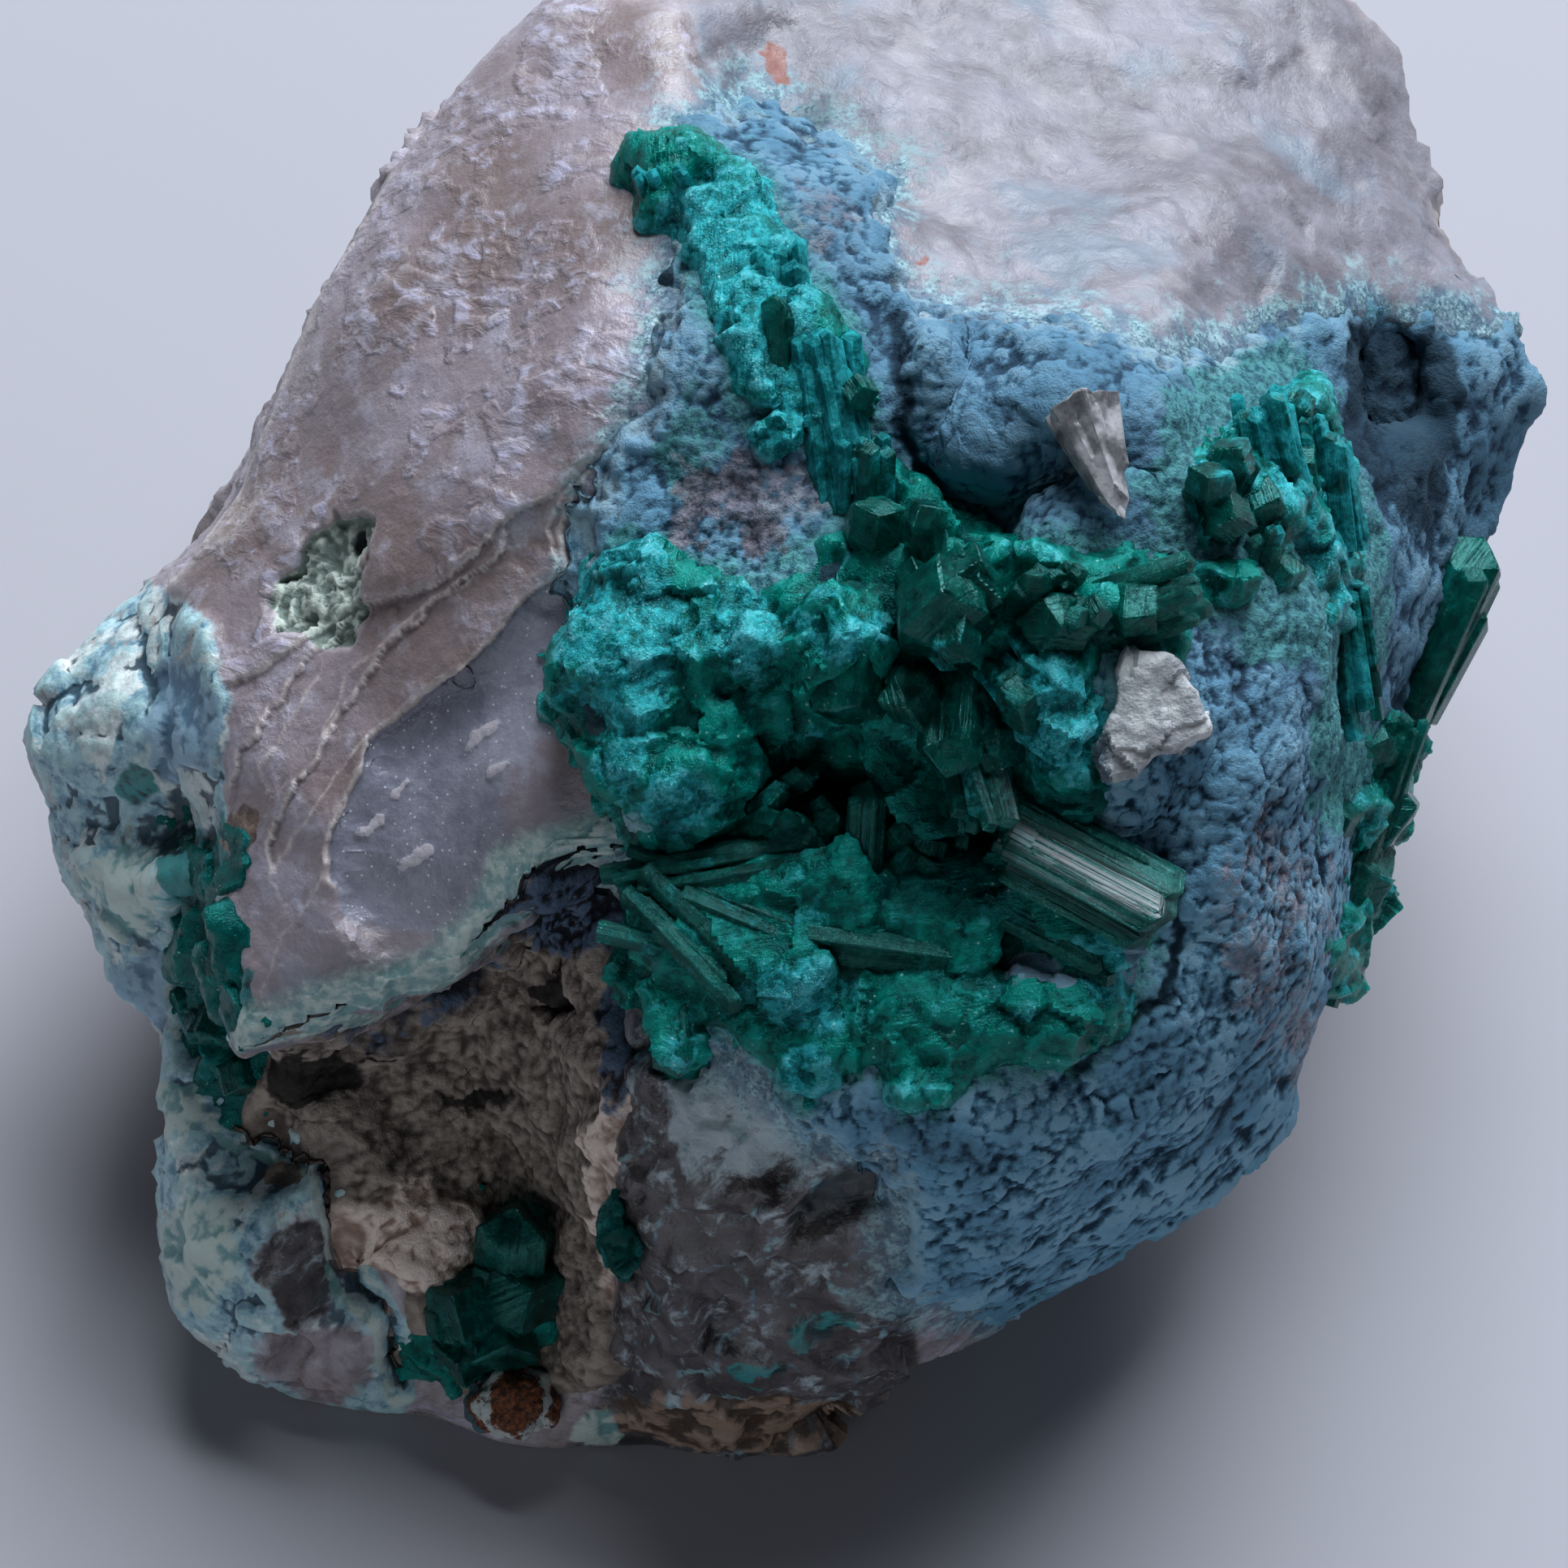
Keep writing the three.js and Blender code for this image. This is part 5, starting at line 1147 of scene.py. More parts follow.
def shape_quartz(mesh, ripple):
    """Breaks, ripples and lumps of the quartz, and the masks that its finish reads."""
    points = points_of(mesh)
    u, v, w = on_face(points)
    torn = ragged_places(points, u, v)
    near = ragged_places(points, u, v, 0.24)
    slopes = slopes_of(mesh)
    facing = slopes @ OUT
    front = soft(facing, -0.1, 0.35) * soft(w, -24, -20)
    crust = crust_cover(points)
    clay = clay_cover(points)
    under = np.maximum(soft(crust, 0.5, 2.0), soft(clay, 0.5, 1.6))

    lobes = np.maximum(soft(depth_inside(*near, LEFT_LOBES), -0.4, 0.6),
                       soft(depth_inside(*near, LOWER_LOBE), -0.4, 0.6)) * soft(w, -23, -20)
    smoky = soft(depth_inside(*near, SMOKY_PART), -0.6, 0.6) * soft(w, -23, -20)
    right = soft(depth_inside(*torn, UPPER_RIGHT), -0.5, 1.5) * soft(w, -24, -20)
    glassy_edge = depth_inside(*near, GLASSY_FACE)
    crack_edge = depth_inside(*near, BELOW_CRACK)
    by_ledge = soft(line_distance(*near, LEDGE), 1.6, 0.6)
    by_crack = soft(line_distance(*near, CRACK), 1.6, 0.6)
    glassy = (by_ledge * soft(glassy_edge, -0.1, 0.1) + (1 - by_ledge) * soft(glassy_edge, -1.4,
        1.0)) * front
    below = (by_crack * soft(crack_edge, -0.1, 0.1) + (1 - by_crack) * soft(crack_edge, -1.0, 1.0)) * front
    pit = depth_inside(*near, GREEN_PIT) + 0.5 * waves(points, 1.0, 11)
    in_pit = soft(pit, -0.15, 0.25) * front
    rough_part = np.maximum(lobes, smoky)
    plate = (1 - rough_part) * (1 - glassy) * front

    along = points @ (ACROSS * 0.93 + UP * 0.37)
    across = points @ (UP * 0.93 - ACROSS * 0.37)
    bend = 0.9 * waves(points, 2.6, 1) + 0.45 * waves(points, 0.9, 2)
    wide = np.mod(across / 1.5 + bend + 0.1 * along, 1.0)
    narrow = np.mod(across / 0.62 + 2.2 * waves(points, 1.3, 5) + 0.8 * waves(points, 0.5, 6), 1.0)
    lively = soft(waves(points, 4.5, 4) + 0.6 * waves(points, 1.6, 9) + 0.3 * waves(points, 0.7, 10),
        -0.3, 0.3)
    lively = lively * plate * (1 - 0.95 * right) * (1 - 0.7 * below)
    strength = (0.25 * plate + 0.75 * lively) * (1 - 0.6 * under)
    height = ripple * strength * (1.5 * (wide - 0.5) + 0.2 * (narrow - 0.5) + 0.8 * waves(points, 1.1, 3))
    height += plate * (0.4 * waves(points, 6.5, 13) + 0.1 * waves(points, 2.2, 14))
    height += glassy * (0.05 * waves(points, 1.5) + 0.12 * waves(points, 4, 5))

    strip = below * (1 - glassy) * (1 - rough_part)
    sheets = np.mod(0.42 * glassy_edge + 0.28 * waves(points, 3.6) + 0.05 * waves(points, 0.8), 1.0)
    height += strip * (0.2 * soft(v, -7, -2) * (sheets - 0.5) + 0.04 * waves(points, 0.7, 3))
    steps = np.zeros(len(u))
    for edge in STEP_EDGES:
        steps = np.maximum(steps, np.exp(-line_distance(*near, edge) / 0.2))
    height += strip * 0.08 * steps
    height -= 0.32 * below + 0.42 * glassy + 0.45 * in_pit
    height += in_pit * (0.38 * chips(points, 1.3, 3) + 0.2 * waves(points, 0.8, 3) + 0.12 * waves(points,
        0.35, 5))
    splintered = ragged_places(points, u, v, 0.5)
    for splinter in SPLINTERS:
        height += 0.1 * glassy * (splinter_reach(*splintered, splinter, 0.33) < 1)
    height += lobes * (0.5 * waves(points, 3.6, 1) + 0.15 * knobs(points, 1.3, 2)
                       + 0.32 * chips(points, 3.2, 4) + 0.1 * chips(points, 1.3, 5)
                       + 0.1 * knobs(points, 0.5, 6) - 0.1)
    height += smoky * (0.7 * chips(points, 4.4, 7) + 0.28 * chips(points, 1.8, 5) + 0.05 * waves(points,
        0.5))
    height += right * (0.3 * waves(points, 5, 8) + 0.14 * chips(points, 2.8, 9) + 0.08 * waves(points,
        0.8, 3))
    gap = np.exp(-line_distance(*near, DARK_GAP) / 0.35)
    left_recess = around(*near, (-25.6, -8.6), (1.5, 4))
    lobe_hollow = around(*near, (-23.8, -16.8), (3.4, 1.5))
    lobe_dark = around(*torn, (-21.3, -21.4), (2.4, 2.3))
    lobe_grey = around(*torn, (-20.4, -25.2), (3.4, 2.2))
    height -= lobes * (0.8 * gap + 1.2 * left_recess + 0.45 * lobe_hollow)
    pit_hole = around(*near, (-19.1, 10.6), (0.3, 0.6))
    hollow = soft(depth_inside(*near, SMOKY_HOLLOW), -0.3, 0.5)
    height -= 0.45 * pit_hole * front + 0.9 * hollow * smoky
    height -= COVER_SINK * under + 0.6 * soft(clay, 0.4, 1.4)
    points = push_out(mesh, points, slopes, height * soft(points[:, 2], 0.1, 1.2))

    keep_mask(mesh, "crest", prominence(mesh, 5, 0.09))
    keep_mask(mesh, "crumple", lively)
    rims = by_ledge * np.exp(-np.maximum(-glassy_edge, 0) / 0.3) * (glassy_edge < 0.05)
    rims = np.maximum(rims, 0.8 * by_crack * np.exp(-np.maximum(-crack_edge, 0) / 0.25)
        * (crack_edge < 0.05))
    # A painted rim of back light along the plate's left edge, where it turns away from the front.
    edge_light = np.exp(-((facing - 0.3) / 0.22) ** 2) * soft(-u, 4, 7) * soft(v, -2, 2) * soft(w, -16, -10)
    cream_and_lit_rim = highest([0.25 * strip + 0.5 * strip * soft(sheets, 0.9, 0.99) * soft(v, -6, -2),
        rims * front, 0.7 * strip * steps, edge_light])
    keep_mask(mesh, "cream_and_lit_rim", cream_and_lit_rim * (1 - rough_part))
    keep_mask(mesh, "glass", glassy * (1 - lobes) * (1 - 0.75 * around(*torn, (-9.5, -0.6), (4, 3.4))))
    lip_line = line_distance(u, v, LIP)
    lip_cloud = np.exp(-(lip_line / 2.9) ** 2) * soft(w, -8, -5) * (1 - lobes)
    keep_mask(mesh, "cloud", np.maximum(lip_cloud, right * 0.95))
    keep_mask(mesh, "smoke", np.maximum(smoky, lobe_dark * lobes))
    keep_mask(mesh, "weathered", 1 - front)
    keep_mask(mesh, "pale", around(*torn, (-1.4, -14), (5, 3.6)))
    keep_mask(mesh, "lobe", lobes * (1 - np.maximum(lobe_dark, 0.75 * lobe_grey)))
    keep_mask(mesh, "pit", in_pit)
    near_crust = np.exp(-np.maximum(-crust, 0) / 2.2) * soft(w, -26, -22)
    lip_stain = 0.62 * np.exp(-lip_line / 0.7) * (w > -8)
    veins = 0.8 * soft(-np.abs(waves(points, 3.4, 17)), -0.07, -0.01) * smoky
    keep_mask(mesh, "stain", highest([near_crust * (1 - glassy * 0.7), lip_stain, veins]))
    keep_mask(mesh, "rust", patches(*torn, (-0.8, 32, 0.7, 1.2, 1), (5.9, 23, 0.35, 0.35, 1)))
    skies = patches(*torn, (-26.4, 2.6, 1.9, 2.8, 1), (-28.4, -9.6, 1.6, 3, 0.9), (-25.4, -14.4, 1.6, 1,
        0.8))
    keep_mask(mesh, "sky", skies * lobes * front)
    teal = np.maximum(patches(*torn, (-25.8, -3.4, 1.7, 2, 1), (-24.3, -9.2, 0.8, 1.6, 1), (-23.8, -12.4,
        1.6, 2.6, 1), (1.8, -23.8, 1.6, 1, 0.8), (-1.2, -25.5, 1.5, 0.6, 0.7), (-28.6, 0, 1.2, 1.2,
        0.8)), 0.8 * gap)
    keep_mask(mesh, "teal", teal * front)
    frosty = highest([patches(*torn, (-29, -4.6, 2, 2.4, 1), (-26.6, -14.4, 1.8, 1.2, 1), (-8.3, -28.3,
        1.3, 1, 0.8), (-25.6, -20.6, 2.6, 3, 0.75)), 0.9 * np.exp(-(lip_line / 2.3) ** 2) * (w > -8),
        0.9 * np.exp(-((line_distance(*near, DARK_GAP) - 0.7) / 0.25) ** 2) * lobes])
    keep_mask(mesh, "frosty", frosty * (1 - 0.4 * soft(crust, -1, 0)) * front)
    keep_mask(mesh, "sand", patches(*torn, (-24.2, -2.2, 0.8, 1.6, 1), (-22.5, -17, 0.7, 0.7, 1),
        (-2, -27.8, 7, 1.6, 0.9), (-2.2, 12.4, 2.5, 2, 0.6)))
    # Painted shade: the pit's hole, the smoky hollow, the left recess, the lobe hollow, the dark gap and a
    # line along the clay's edge; also a dark patch near the top.
    keep_mask(mesh, "dark", highest([0.5 * around(*torn, (1.2, 29.5), (1.6, 1)), pit_hole * front,
        0.62 * hollow, left_recess, 0.42 * lobe_hollow, 0.7 * gap, 0.35 * np.exp(-np.maximum(clay, 0)
        / 0.3) * (clay > -0.2)]))
    streaks = np.zeros(len(u))
    for splinter in SPLINTERS:
        reach = splinter_reach(*splintered, splinter, 0.35)
        streaks = np.maximum(streaks, 1 - soft(reach, 0.7, 1.2))
    keep_mask(mesh, "chip", streaks)


class SPECIMEN_OT_quartz(bpy.types.Operator):
    """Dress the quartz block"""

    bl_idname = "specimen.quartz"
    bl_label = "Quartz block"

    def execute(self, context):
        settings = context.scene.specimen
        quartz = bpy.data.objects.new("quartz_block", stone_skin())
        context.scene.collection.objects.link(quartz)
        roughen_hidden(quartz.data)
        points = points_of(quartz.data)
        u, v, w = on_face(points)
        covered = np.maximum(crust_cover(points), clay_cover(points))
        hidden = np.flatnonzero((w < HIDDEN_DEPTH) | (covered > 3))
        group = quartz.vertex_groups.new(name="hidden")
        group.add(hidden.tolist(), 1.0, "REPLACE")
        apply_modifier(quartz, "DECIMATE", ratio=THINNED, vertex_group="hidden")
        quartz.vertex_groups.clear()
        for fine in (False, True):
            middles = face_middles(quartz.data)
            u, v, w = on_face(middles)
            covered = np.maximum(crust_cover(middles), clay_cover(middles))
            seen = (w > -20) & (covered < 1.2) & (middles[:, 2] > 0.4) & (v < 36)
            if fine:
                seen &= (u < -5) & (v > -11.5) & (u > -24.5) & (w > -7) & (v < 25)
            edit_faces(quartz, seen, divide)
        shape_quartz(quartz.data, settings.ripple_depth / MM)
        smooth_look(quartz)
        finish(quartz, quartz_finish(), "quartz", "quartz_matrix")
        return {"FINISHED"}


# ------------------------------------------------------------------ the coatings


def settle_coating(mesh, cover, lift, relief):
    """Raises a coating's outer face: thin at its edge, full inside, with the relief on top."""
    points = points_of(mesh)
    outer = outer_points(mesh)
    inside = cover(points)
    full = soft(inside, -0.5, 1.1)
    height = outer * (full * (lift + relief) - (1 - full) * 0.45)
    push_out(mesh, points, slopes_of(mesh), height * soft(points[:, 2], 0.1, 1.0))


class SPECIMEN_OT_crust(bpy.types.Operator):
    """Grow the blue crust"""

    bl_idname = "specimen.crust"
    bl_label = "Blue crust"

    def execute(self, context):
        settings = context.scene.specimen

        def hidden(middles):
            u, v, w = on_face(middles)
            return (depth_inside(u, v, CLUSTER_OUTLINE) > 0.7) | (w < -4.3)

        crust = coating("blue_crust_coat", crust_cover, 2, hidden)
        mesh = crust.data
        points = points_of(mesh)
        u, v, w = on_face(points)
        torn = ragged_places(points, u, v)
        outer = outer_points(mesh)
        shallow = RECESS_FLOOR - (u - 26)
        sunken = (around(u, v, (26.8, 17.4), (4, 4.6)) > 0.02) & (w < shallow) & (outer > 0.5)
        points = points + OUT * np.where(sunken, shallow - w, 0)[:, None]
        move_points(mesh, points)
        wavy = np.stack([waves(points, 1.8, 1), waves(points, 1.8, 2), waves(points, 1.8, 3)], axis=1)
        big = knobs(points + 0.8 * wavy, 3.4, 1)
        mid = knobs(points + 0.3 * wavy, 1.3, 4)
        small = knobs(points, 0.55, 7)
        tiny = knobs(points, 0.3, 8)
        floor_part = around(u, v, (8.4, 11.8), (2.6, 2.2))
        mass = around(*torn, (10, 15.8), (4.6, 4.2))
        recess = soft(depth_inside(*torn, RECESS_SHADE), -0.5, 0.6)
        rough = (1 - 0.85 * floor_part) * (0.45 + 0.55 * soft(waves(points, 3.2, 12), -0.35, 0.3))
        rough *= 0.6 + 0.4 * soft(v, -11, -5)
        far = ragged_places(points, u, v, 1.7)
        big_height = settings.knob_height / MM * (1 + 0.5 * mass)
        relief = rough * (big_height * (big - 0.6) + 0.16 * (mid - 0.5) + 0.24 * (small - 0.5))
        relief += rough * 0.15 * (tiny - 0.5) + 0.6 * mass - 0.15 * floor_part
        relief += 0.2 * waves(points, 2.4, 14) + 0.12 * chips(points, 1.2, 15)
        crevice = np.exp(-line_distance(*torn, [(5, 20), (5.5, 15), (7, 12.6), (10, 10.2)]) / 0.6)
        lower = np.exp(-line_distance(*torn, [(13, -12.6), (16.6, -9), (17.2, -4)]) / 0.5)
        relief -= 0.4 * crevice + 0.5 * lower
        settle_coating(mesh, crust_cover, 0.4, relief)
        inside = crust_cover(points)
        keep_mask(mesh, "top", 0.4 * big + 0.35 * mid + 0.3 * small - 0.1 + 0.35 * floor_part)
        keep_mask(mesh, "crest", prominence(mesh, 6, 0.1))
        keep_mask(mesh, "high", soft(v + 0.4 * u, 4, 16))
        edge = 1 - soft(inside, 0.3, 2.6)
        keep_mask(mesh, "white", np.maximum(0.75 * edge * soft(w, -12, -6), 0.7 * around(
            *torn, (0.6, 12.6), (1.8, 1.6))))
        cluster = depth_inside(u, v, CLUSTER_OUTLINE)
        flank = soft(depth_inside(*torn, TEAL_FLANK), -0.8, 0.8)
        keep_mask(mesh, "teal", highest([patches(*torn, (-4, 14.5, 2, 3.5, 0.7), (26.4, -3, 1.6, 7,
            0.8)), 0.8 * np.exp(-np.maximum(-cluster, 0) / 1.4), 0.5 * edge, 0.95 * flank]))
        brown = np.maximum(patches(*far, (21.5, -5.5, 3, 6.5, 0.62), (-1.8, 12.4, 3.8, 3, 0.9),
            (24, -12, 3.5, 4, 0.7), (1.5, 24.6, 3, 3, 0.6)), 0.6 * around(*torn, (13.4, 14.4),
            (1.6, 2.4)))
        keep_mask(mesh, "brown", brown)
        # Painted shade for the dark mask: the crevices, the recess, the crust by the pocket wall, the
        # crevice by the plate and the crust under the crystals.
        pocket_wall = around(*torn, (-7.6, -5.6), (2.6, 3))
        plate_crevice_shade = 0.75 * around(*torn, (-5.2, 21.4), (0.8, 2.4))
        under_cluster = 0.8 * soft(cluster, 0.4, 1.6)
        keep_mask(mesh, "dark", highest([crevice * 0.95, 0.8 * recess, 0.85 * pocket_wall, lower * 0.9,
            plate_crevice_shade, under_cluster]))
        smooth_look(crust)
        finish(crust, crust_finish(), "crust", "blue_crust")
        return {"FINISHED"}


class SPECIMEN_OT_clay(bpy.types.Operator):
    """Line the pocket with clay"""

    bl_idname = "specimen.clay"
    bl_label = "Clay lining"

    def execute(self, context):
        def hidden(middles):
            return on_face(middles)[2] < -16.5

        clay = coating("clay_coat", clay_cover, 2, hidden)
        mesh = clay.data
        points = points_of(mesh)
        u, v, w = on_face(points)
        torn = ragged_places(points, u, v)
        big = knobs(points, 2.6, 12)
        mid = knobs(points, 1.1, 14)
        small = knobs(points, 0.5, 17)
        tiny = knobs(points, 0.28, 19)
        holes = patches(*torn, (-9.9, -8, 0.5, 0.4, 1), (-9.9, -9.7, 0.55, 0.4, 1))
        wall = around(*torn, (-7.2, -18), (1.3, 7))
        relief = 0.6 * waves(points, 2.6, 12) + 0.3 * waves(points, 1.2, 13) + 0.16 * (mid - 0.5)
        relief += 0.2 * (small - 0.5) + 0.1 * tiny - 0.9 * holes + wall * 0.35 * mid
        bulge = around(*torn, (-16.5, -19.8), (3, 2.6))
        relief += 0.6 * bulge
        settle_coating(mesh, clay_cover, 0.3, relief)
        keep_mask(mesh, "top", 0.4 * big + 0.4 * mid + 0.2 * small)
        keep_mask(mesh, "crest", prominence(mesh, 6, 0.1))
        # Pink clay on the bulge and the wall, brightened as painted light.
        keep_mask(mesh, "pink_and_lit", np.maximum(around(*torn, (-17, -20), (4, 3)),
                                           0.85 * wall))
        # Painted shadow under the lip and painted shade beside the crust, in the blue mask.
        lip_shadow = np.exp(-(line_distance(*torn, LIP) / 1.3) ** 2) * soft(u, -22, -19)
        blue = np.maximum(patches(*torn, (-8.6, -5.6, 4, 2.4, 1), (-7, -11, 1.0, 4, 1)), 0.9 * lip_shadow)
        keep_mask(mesh, "blue", blue)
        # Painted shadow band under the lip and painted shade in the holes.
        keep_mask(mesh, "dark", np.maximum(patches(*torn, (-20.6, -12.8, 3, 1.2, 0.8), (-13.6, -13.6, 3,
            0.6, 0.6), (-9.9, -8.8, 0.5, 1.3, 0.9)), holes))
        smooth_look(clay)
        finish(clay, clay_finish(), "clay", "clay_lining")
        return {"FINISHED"}


# ------------------------------------------------------------------ crystals

CAP_SLOPE = 1.05        # rise of a crystal's end faces over their run
CAP_ALTERNATE = 0.5     # every other side's edge ends this much nearer the tip
TURN_STEP = 0.77        # turn from one crystal to the next about their own axes
TEMPLATE_LENGTH = 4.0   # length of the template prism, in radii
BED_LIFT = 1.6          # the green bed stands this far above the stone
FUSED_VOXEL = 0.25      # grain of the grown-together mass
FROSTED = 0.5           # crystals at least this frosty grow into the mass
CAP_HEIGHT = 1.3        # height of a crystal's end, in radii

templates = {}


def prism_template(kind):
    """A six-sided prism with an end of three faces, its tip at the origin and its axis along Z."""
    if kind in templates:
        return templates[kind]
    bpy.ops.object.select_all(action="DESELECT")
    bpy.ops.mesh.primitive_cylinder_add(
        vertices=6, radius=1, depth=TEMPLATE_LENGTH, location=(0, 0, -TEMPLATE_LENGTH / 2))
    prism = bpy.context.active_object
    bpy.ops.object.transform_apply(location=True, rotation=True, scale=True)
    mesh = prism.data
    mesh.uv_layers[0].name = "grain"
    ends = np.array([face.normal.z > 0.9 for face in mesh.polygons])
    edit_faces(prism, ends, lambda: bpy.ops.mesh.poke())
    tip = max((point for point in mesh.vertices if math.hypot(point.co.x, point.co.y) < 0.1),
              key=lambda point: point.co.z)
    for point in mesh.vertices:
        if point.co.z < -0.5 or point is tip:
            continue
        corner = round(math.atan2(point.co.y, point.co.x) / (math.pi / 3) + 0.5)
        point.co.z = -CAP_SLOPE * (1 if corner % 2 == 0 else CAP_ALTERNATE)
    tip.co.z = 0
    select_only(prism)
    bpy.ops.object.mode_set(mode="EDIT")
    bpy.ops.mesh.select_all(action="SELECT")
    bpy.ops.mesh.dissolve_limited(angle_limit=math.radians(2))
    if kind != "plain":
        bpy.ops.mesh.bevel(offset=0.05, offset_type="OFFSET", segments=1, affect="EDGES")
    if kind == "fine":
        bpy.ops.mesh.quads_convert_to_tris()
        bpy.ops.mesh.subdivide(number_cuts=4)
    bpy.ops.object.mode_set(mode="OBJECT")
    template = prism.data.copy()
    bpy.data.objects.remove(prism)
    templates[kind] = template
    return template


def grown_prism(template, tip, axis, turn, radius, length, width=1.0):
    """The points of one prism, in millimetres."""
    local = np.empty(len(template.vertices) * 3)
    template.vertices.foreach_get("co", local)
    local = local.reshape(-1, 3).copy()
    shaft = np.clip((-local[:, 2] - CAP_HEIGHT) / (TEMPLATE_LENGTH - CAP_HEIGHT), 0, 1)
    cap = np.maximum(local[:, 2], -CAP_HEIGHT) * radius
    local[:, 0] *= radius * width
    local[:, 1] *= radius / width
    local[:, 2] = cap - shaft * max(length - CAP_HEIGHT * radius, 0.2 * radius)
    if len(local) > 400:
        angle = np.arctan2(local[:, 1], local[:, 0])
        grooves = np.array([noise.noise((3.2 * math.cos(a), 3.2 * math.sin(a), tip[0])) for a in angle])
        wear = waves(local + tip, 0.9) + 0.5 * waves(local + tip, 0.4)
        steps = chips(local + tip, 1.7)
        reach = np.maximum(np.hypot(local[:, 0], local[:, 1]), 1e-6)
        push = radius * (0.07 * grooves + 0.05 * wear + 0.07 * steps)
        local[:, 0] += local[:, 0] / reach * push
        local[:, 1] += local[:, 1] / reach * push
        local[:, 2] += radius * 0.05 * wear * (shaft < 0.05)
    side = Vector((0, 0, 1)).cross(axis).normalized()
    front = axis.cross(side)
    basis = Matrix((side, front, axis)).transposed() @ Matrix.Rotation(turn, 3, "Z")
    return local @ np.array(basis).T + tip


class PrismMass:
    """Many prisms gathered into one mesh."""

    def __init__(self):
        self.points = []
        self.faces = []
        self.grain = []
        self.frost = []
        self.count = 0

    def add(self, template, tip, axis, turn, radius, length, frost, width=1.0):
        points = grown_prism(template, tip, axis, turn, radius, length, width)
        coordinates = template.uv_layers[0].data
        for face in template.polygons:
            self.faces.append([corner + self.count for corner in face.vertices])
            for loop in face.loop_indices:
                place_on = coordinates[loop].uv
                self.grain.append((place_on[0] + turn, place_on[1] + radius))
        self.points.append(points)
        self.frost.extend([frost] * len(points))
        self.count += len(points)

    def piece(self, name):
        mesh = bpy.data.meshes.new(name)
        mesh.from_pydata((np.concatenate(self.points) * MM).tolist(), [], self.faces)
        layer = mesh.uv_layers.new(name="grain")
        layer.data.foreach_set("uv", np.array(self.grain, np.float32).ravel())
        keep_mask(mesh, "frost", np.array(self.frost))
        keep_mask(mesh, "crest", np.full(len(mesh.vertices), 0.5))
        piece = bpy.data.objects.new(name, mesh)
        bpy.context.scene.collection.objects.link(piece)
        return piece


def add_group(mass, frosted, crystals, chance):
    """The named crystals, each with a few smaller ones grown along its sides; frosted ones go apart."""
    for number, (u, v, w, du, dv, dw, radius, length, frost) in enumerate(crystals):
        axis = leaning(du, dv, dw)
        turn = number * TURN_STEP
        tip = place(u, v, w)
        kept = frosted if frost >= FROSTED else mass
        kept.add(prism_template("fine"), tip, axis, turn, radius, length, frost, chance.uniform(0.92, 1.1))
        side = Vector((0, 0, 1)).cross(axis).normalized()
        front = axis.cross(side)
        for _ in range(chance.randint(2, 5)):
            angle = chance.uniform(0, math.tau)
            reach = radius * chance.uniform(0.45, 0.85)
            small = radius * chance.uniform(0.3, 0.65)
            back = radius * chance.uniform(0.4, 1.6)
            shift = side * (math.cos(angle) * reach) + front * (math.sin(angle) * reach) - axis * back
            tilt = Vector([chance.gauss(0, 0.06) for _ in range(3)])
            near = frost > 0.15 and chance.random() < 0.45
            (frosted if near else kept).add(
                prism_template("beveled"), tip + np.array(shift), (axis + tilt).normalized(), turn, small,
                length - back, frost + chance.uniform(-0.1, 0.25), chance.uniform(0.85, 1.2))


def add_bundles(mass, bundles, chance):
    """Crystals grown side by side in flat bundles, each with a tip of its own."""
    for number, bundle in enumerate(bundles):
        u, v, w, du, dv, dw, radius, flat, length, frost, count = bundle
        axis = leaning(du, dv, dw)
        tip = place(u, v, w)
        side = axis.cross(Vector(OUT)).normalized()
        front = side.cross(axis)
        turn = number * TURN_STEP
        if frost == 0:
            across = Vector((0, 0, 1)).cross(axis).normalized()
            glint = leaning(*GLINT)
            turn = math.atan2(glint.dot(axis.cross(across)), glint.dot(across))
        for _ in range(count):
            angle = chance.uniform(0, math.tau)
            reach = math.sqrt(chance.random())
            shift = side * (math.cos(angle) * reach * radius) + front * (math.sin(angle) * reach * radius
                * flat)
            shift -= axis * (chance.uniform(0, 0.28) * length)
            tilt = Vector([chance.gauss(0, 0.045) for _ in range(3)])
            mass.add(prism_template("beveled"), tip + np.array(shift), (axis + tilt).normalized(),
                     turn + chance.gauss(0, 0.05 if frost == 0 else 0.25), radius * chance.uniform(0.18,
                         0.4),
                     length * chance.uniform(0.7, 1), frost + chance.uniform(-0.12, 0.22),
                     chance.uniform(0.8, 1.3))


def add_plates(mass, plates, chance):
    """Broad flat crystals, each with its flat side turned the way it is told."""
    for u, v, w, du, dv, dw, radius, length, frost, right, up, out in plates:
        axis = leaning(du, dv, dw)
        across = Vector((0, 0, 1)).cross(axis).normalized()
        flat_side = leaning(right, up, out)
        turn = math.atan2(flat_side.dot(axis.cross(across)), flat_side.dot(across))
        mass.add(prism_template("fine"), place(u, v, w), axis, turn, radius, length, frost,
                 PLATE_THIN * chance.uniform(0.95, 1.05))


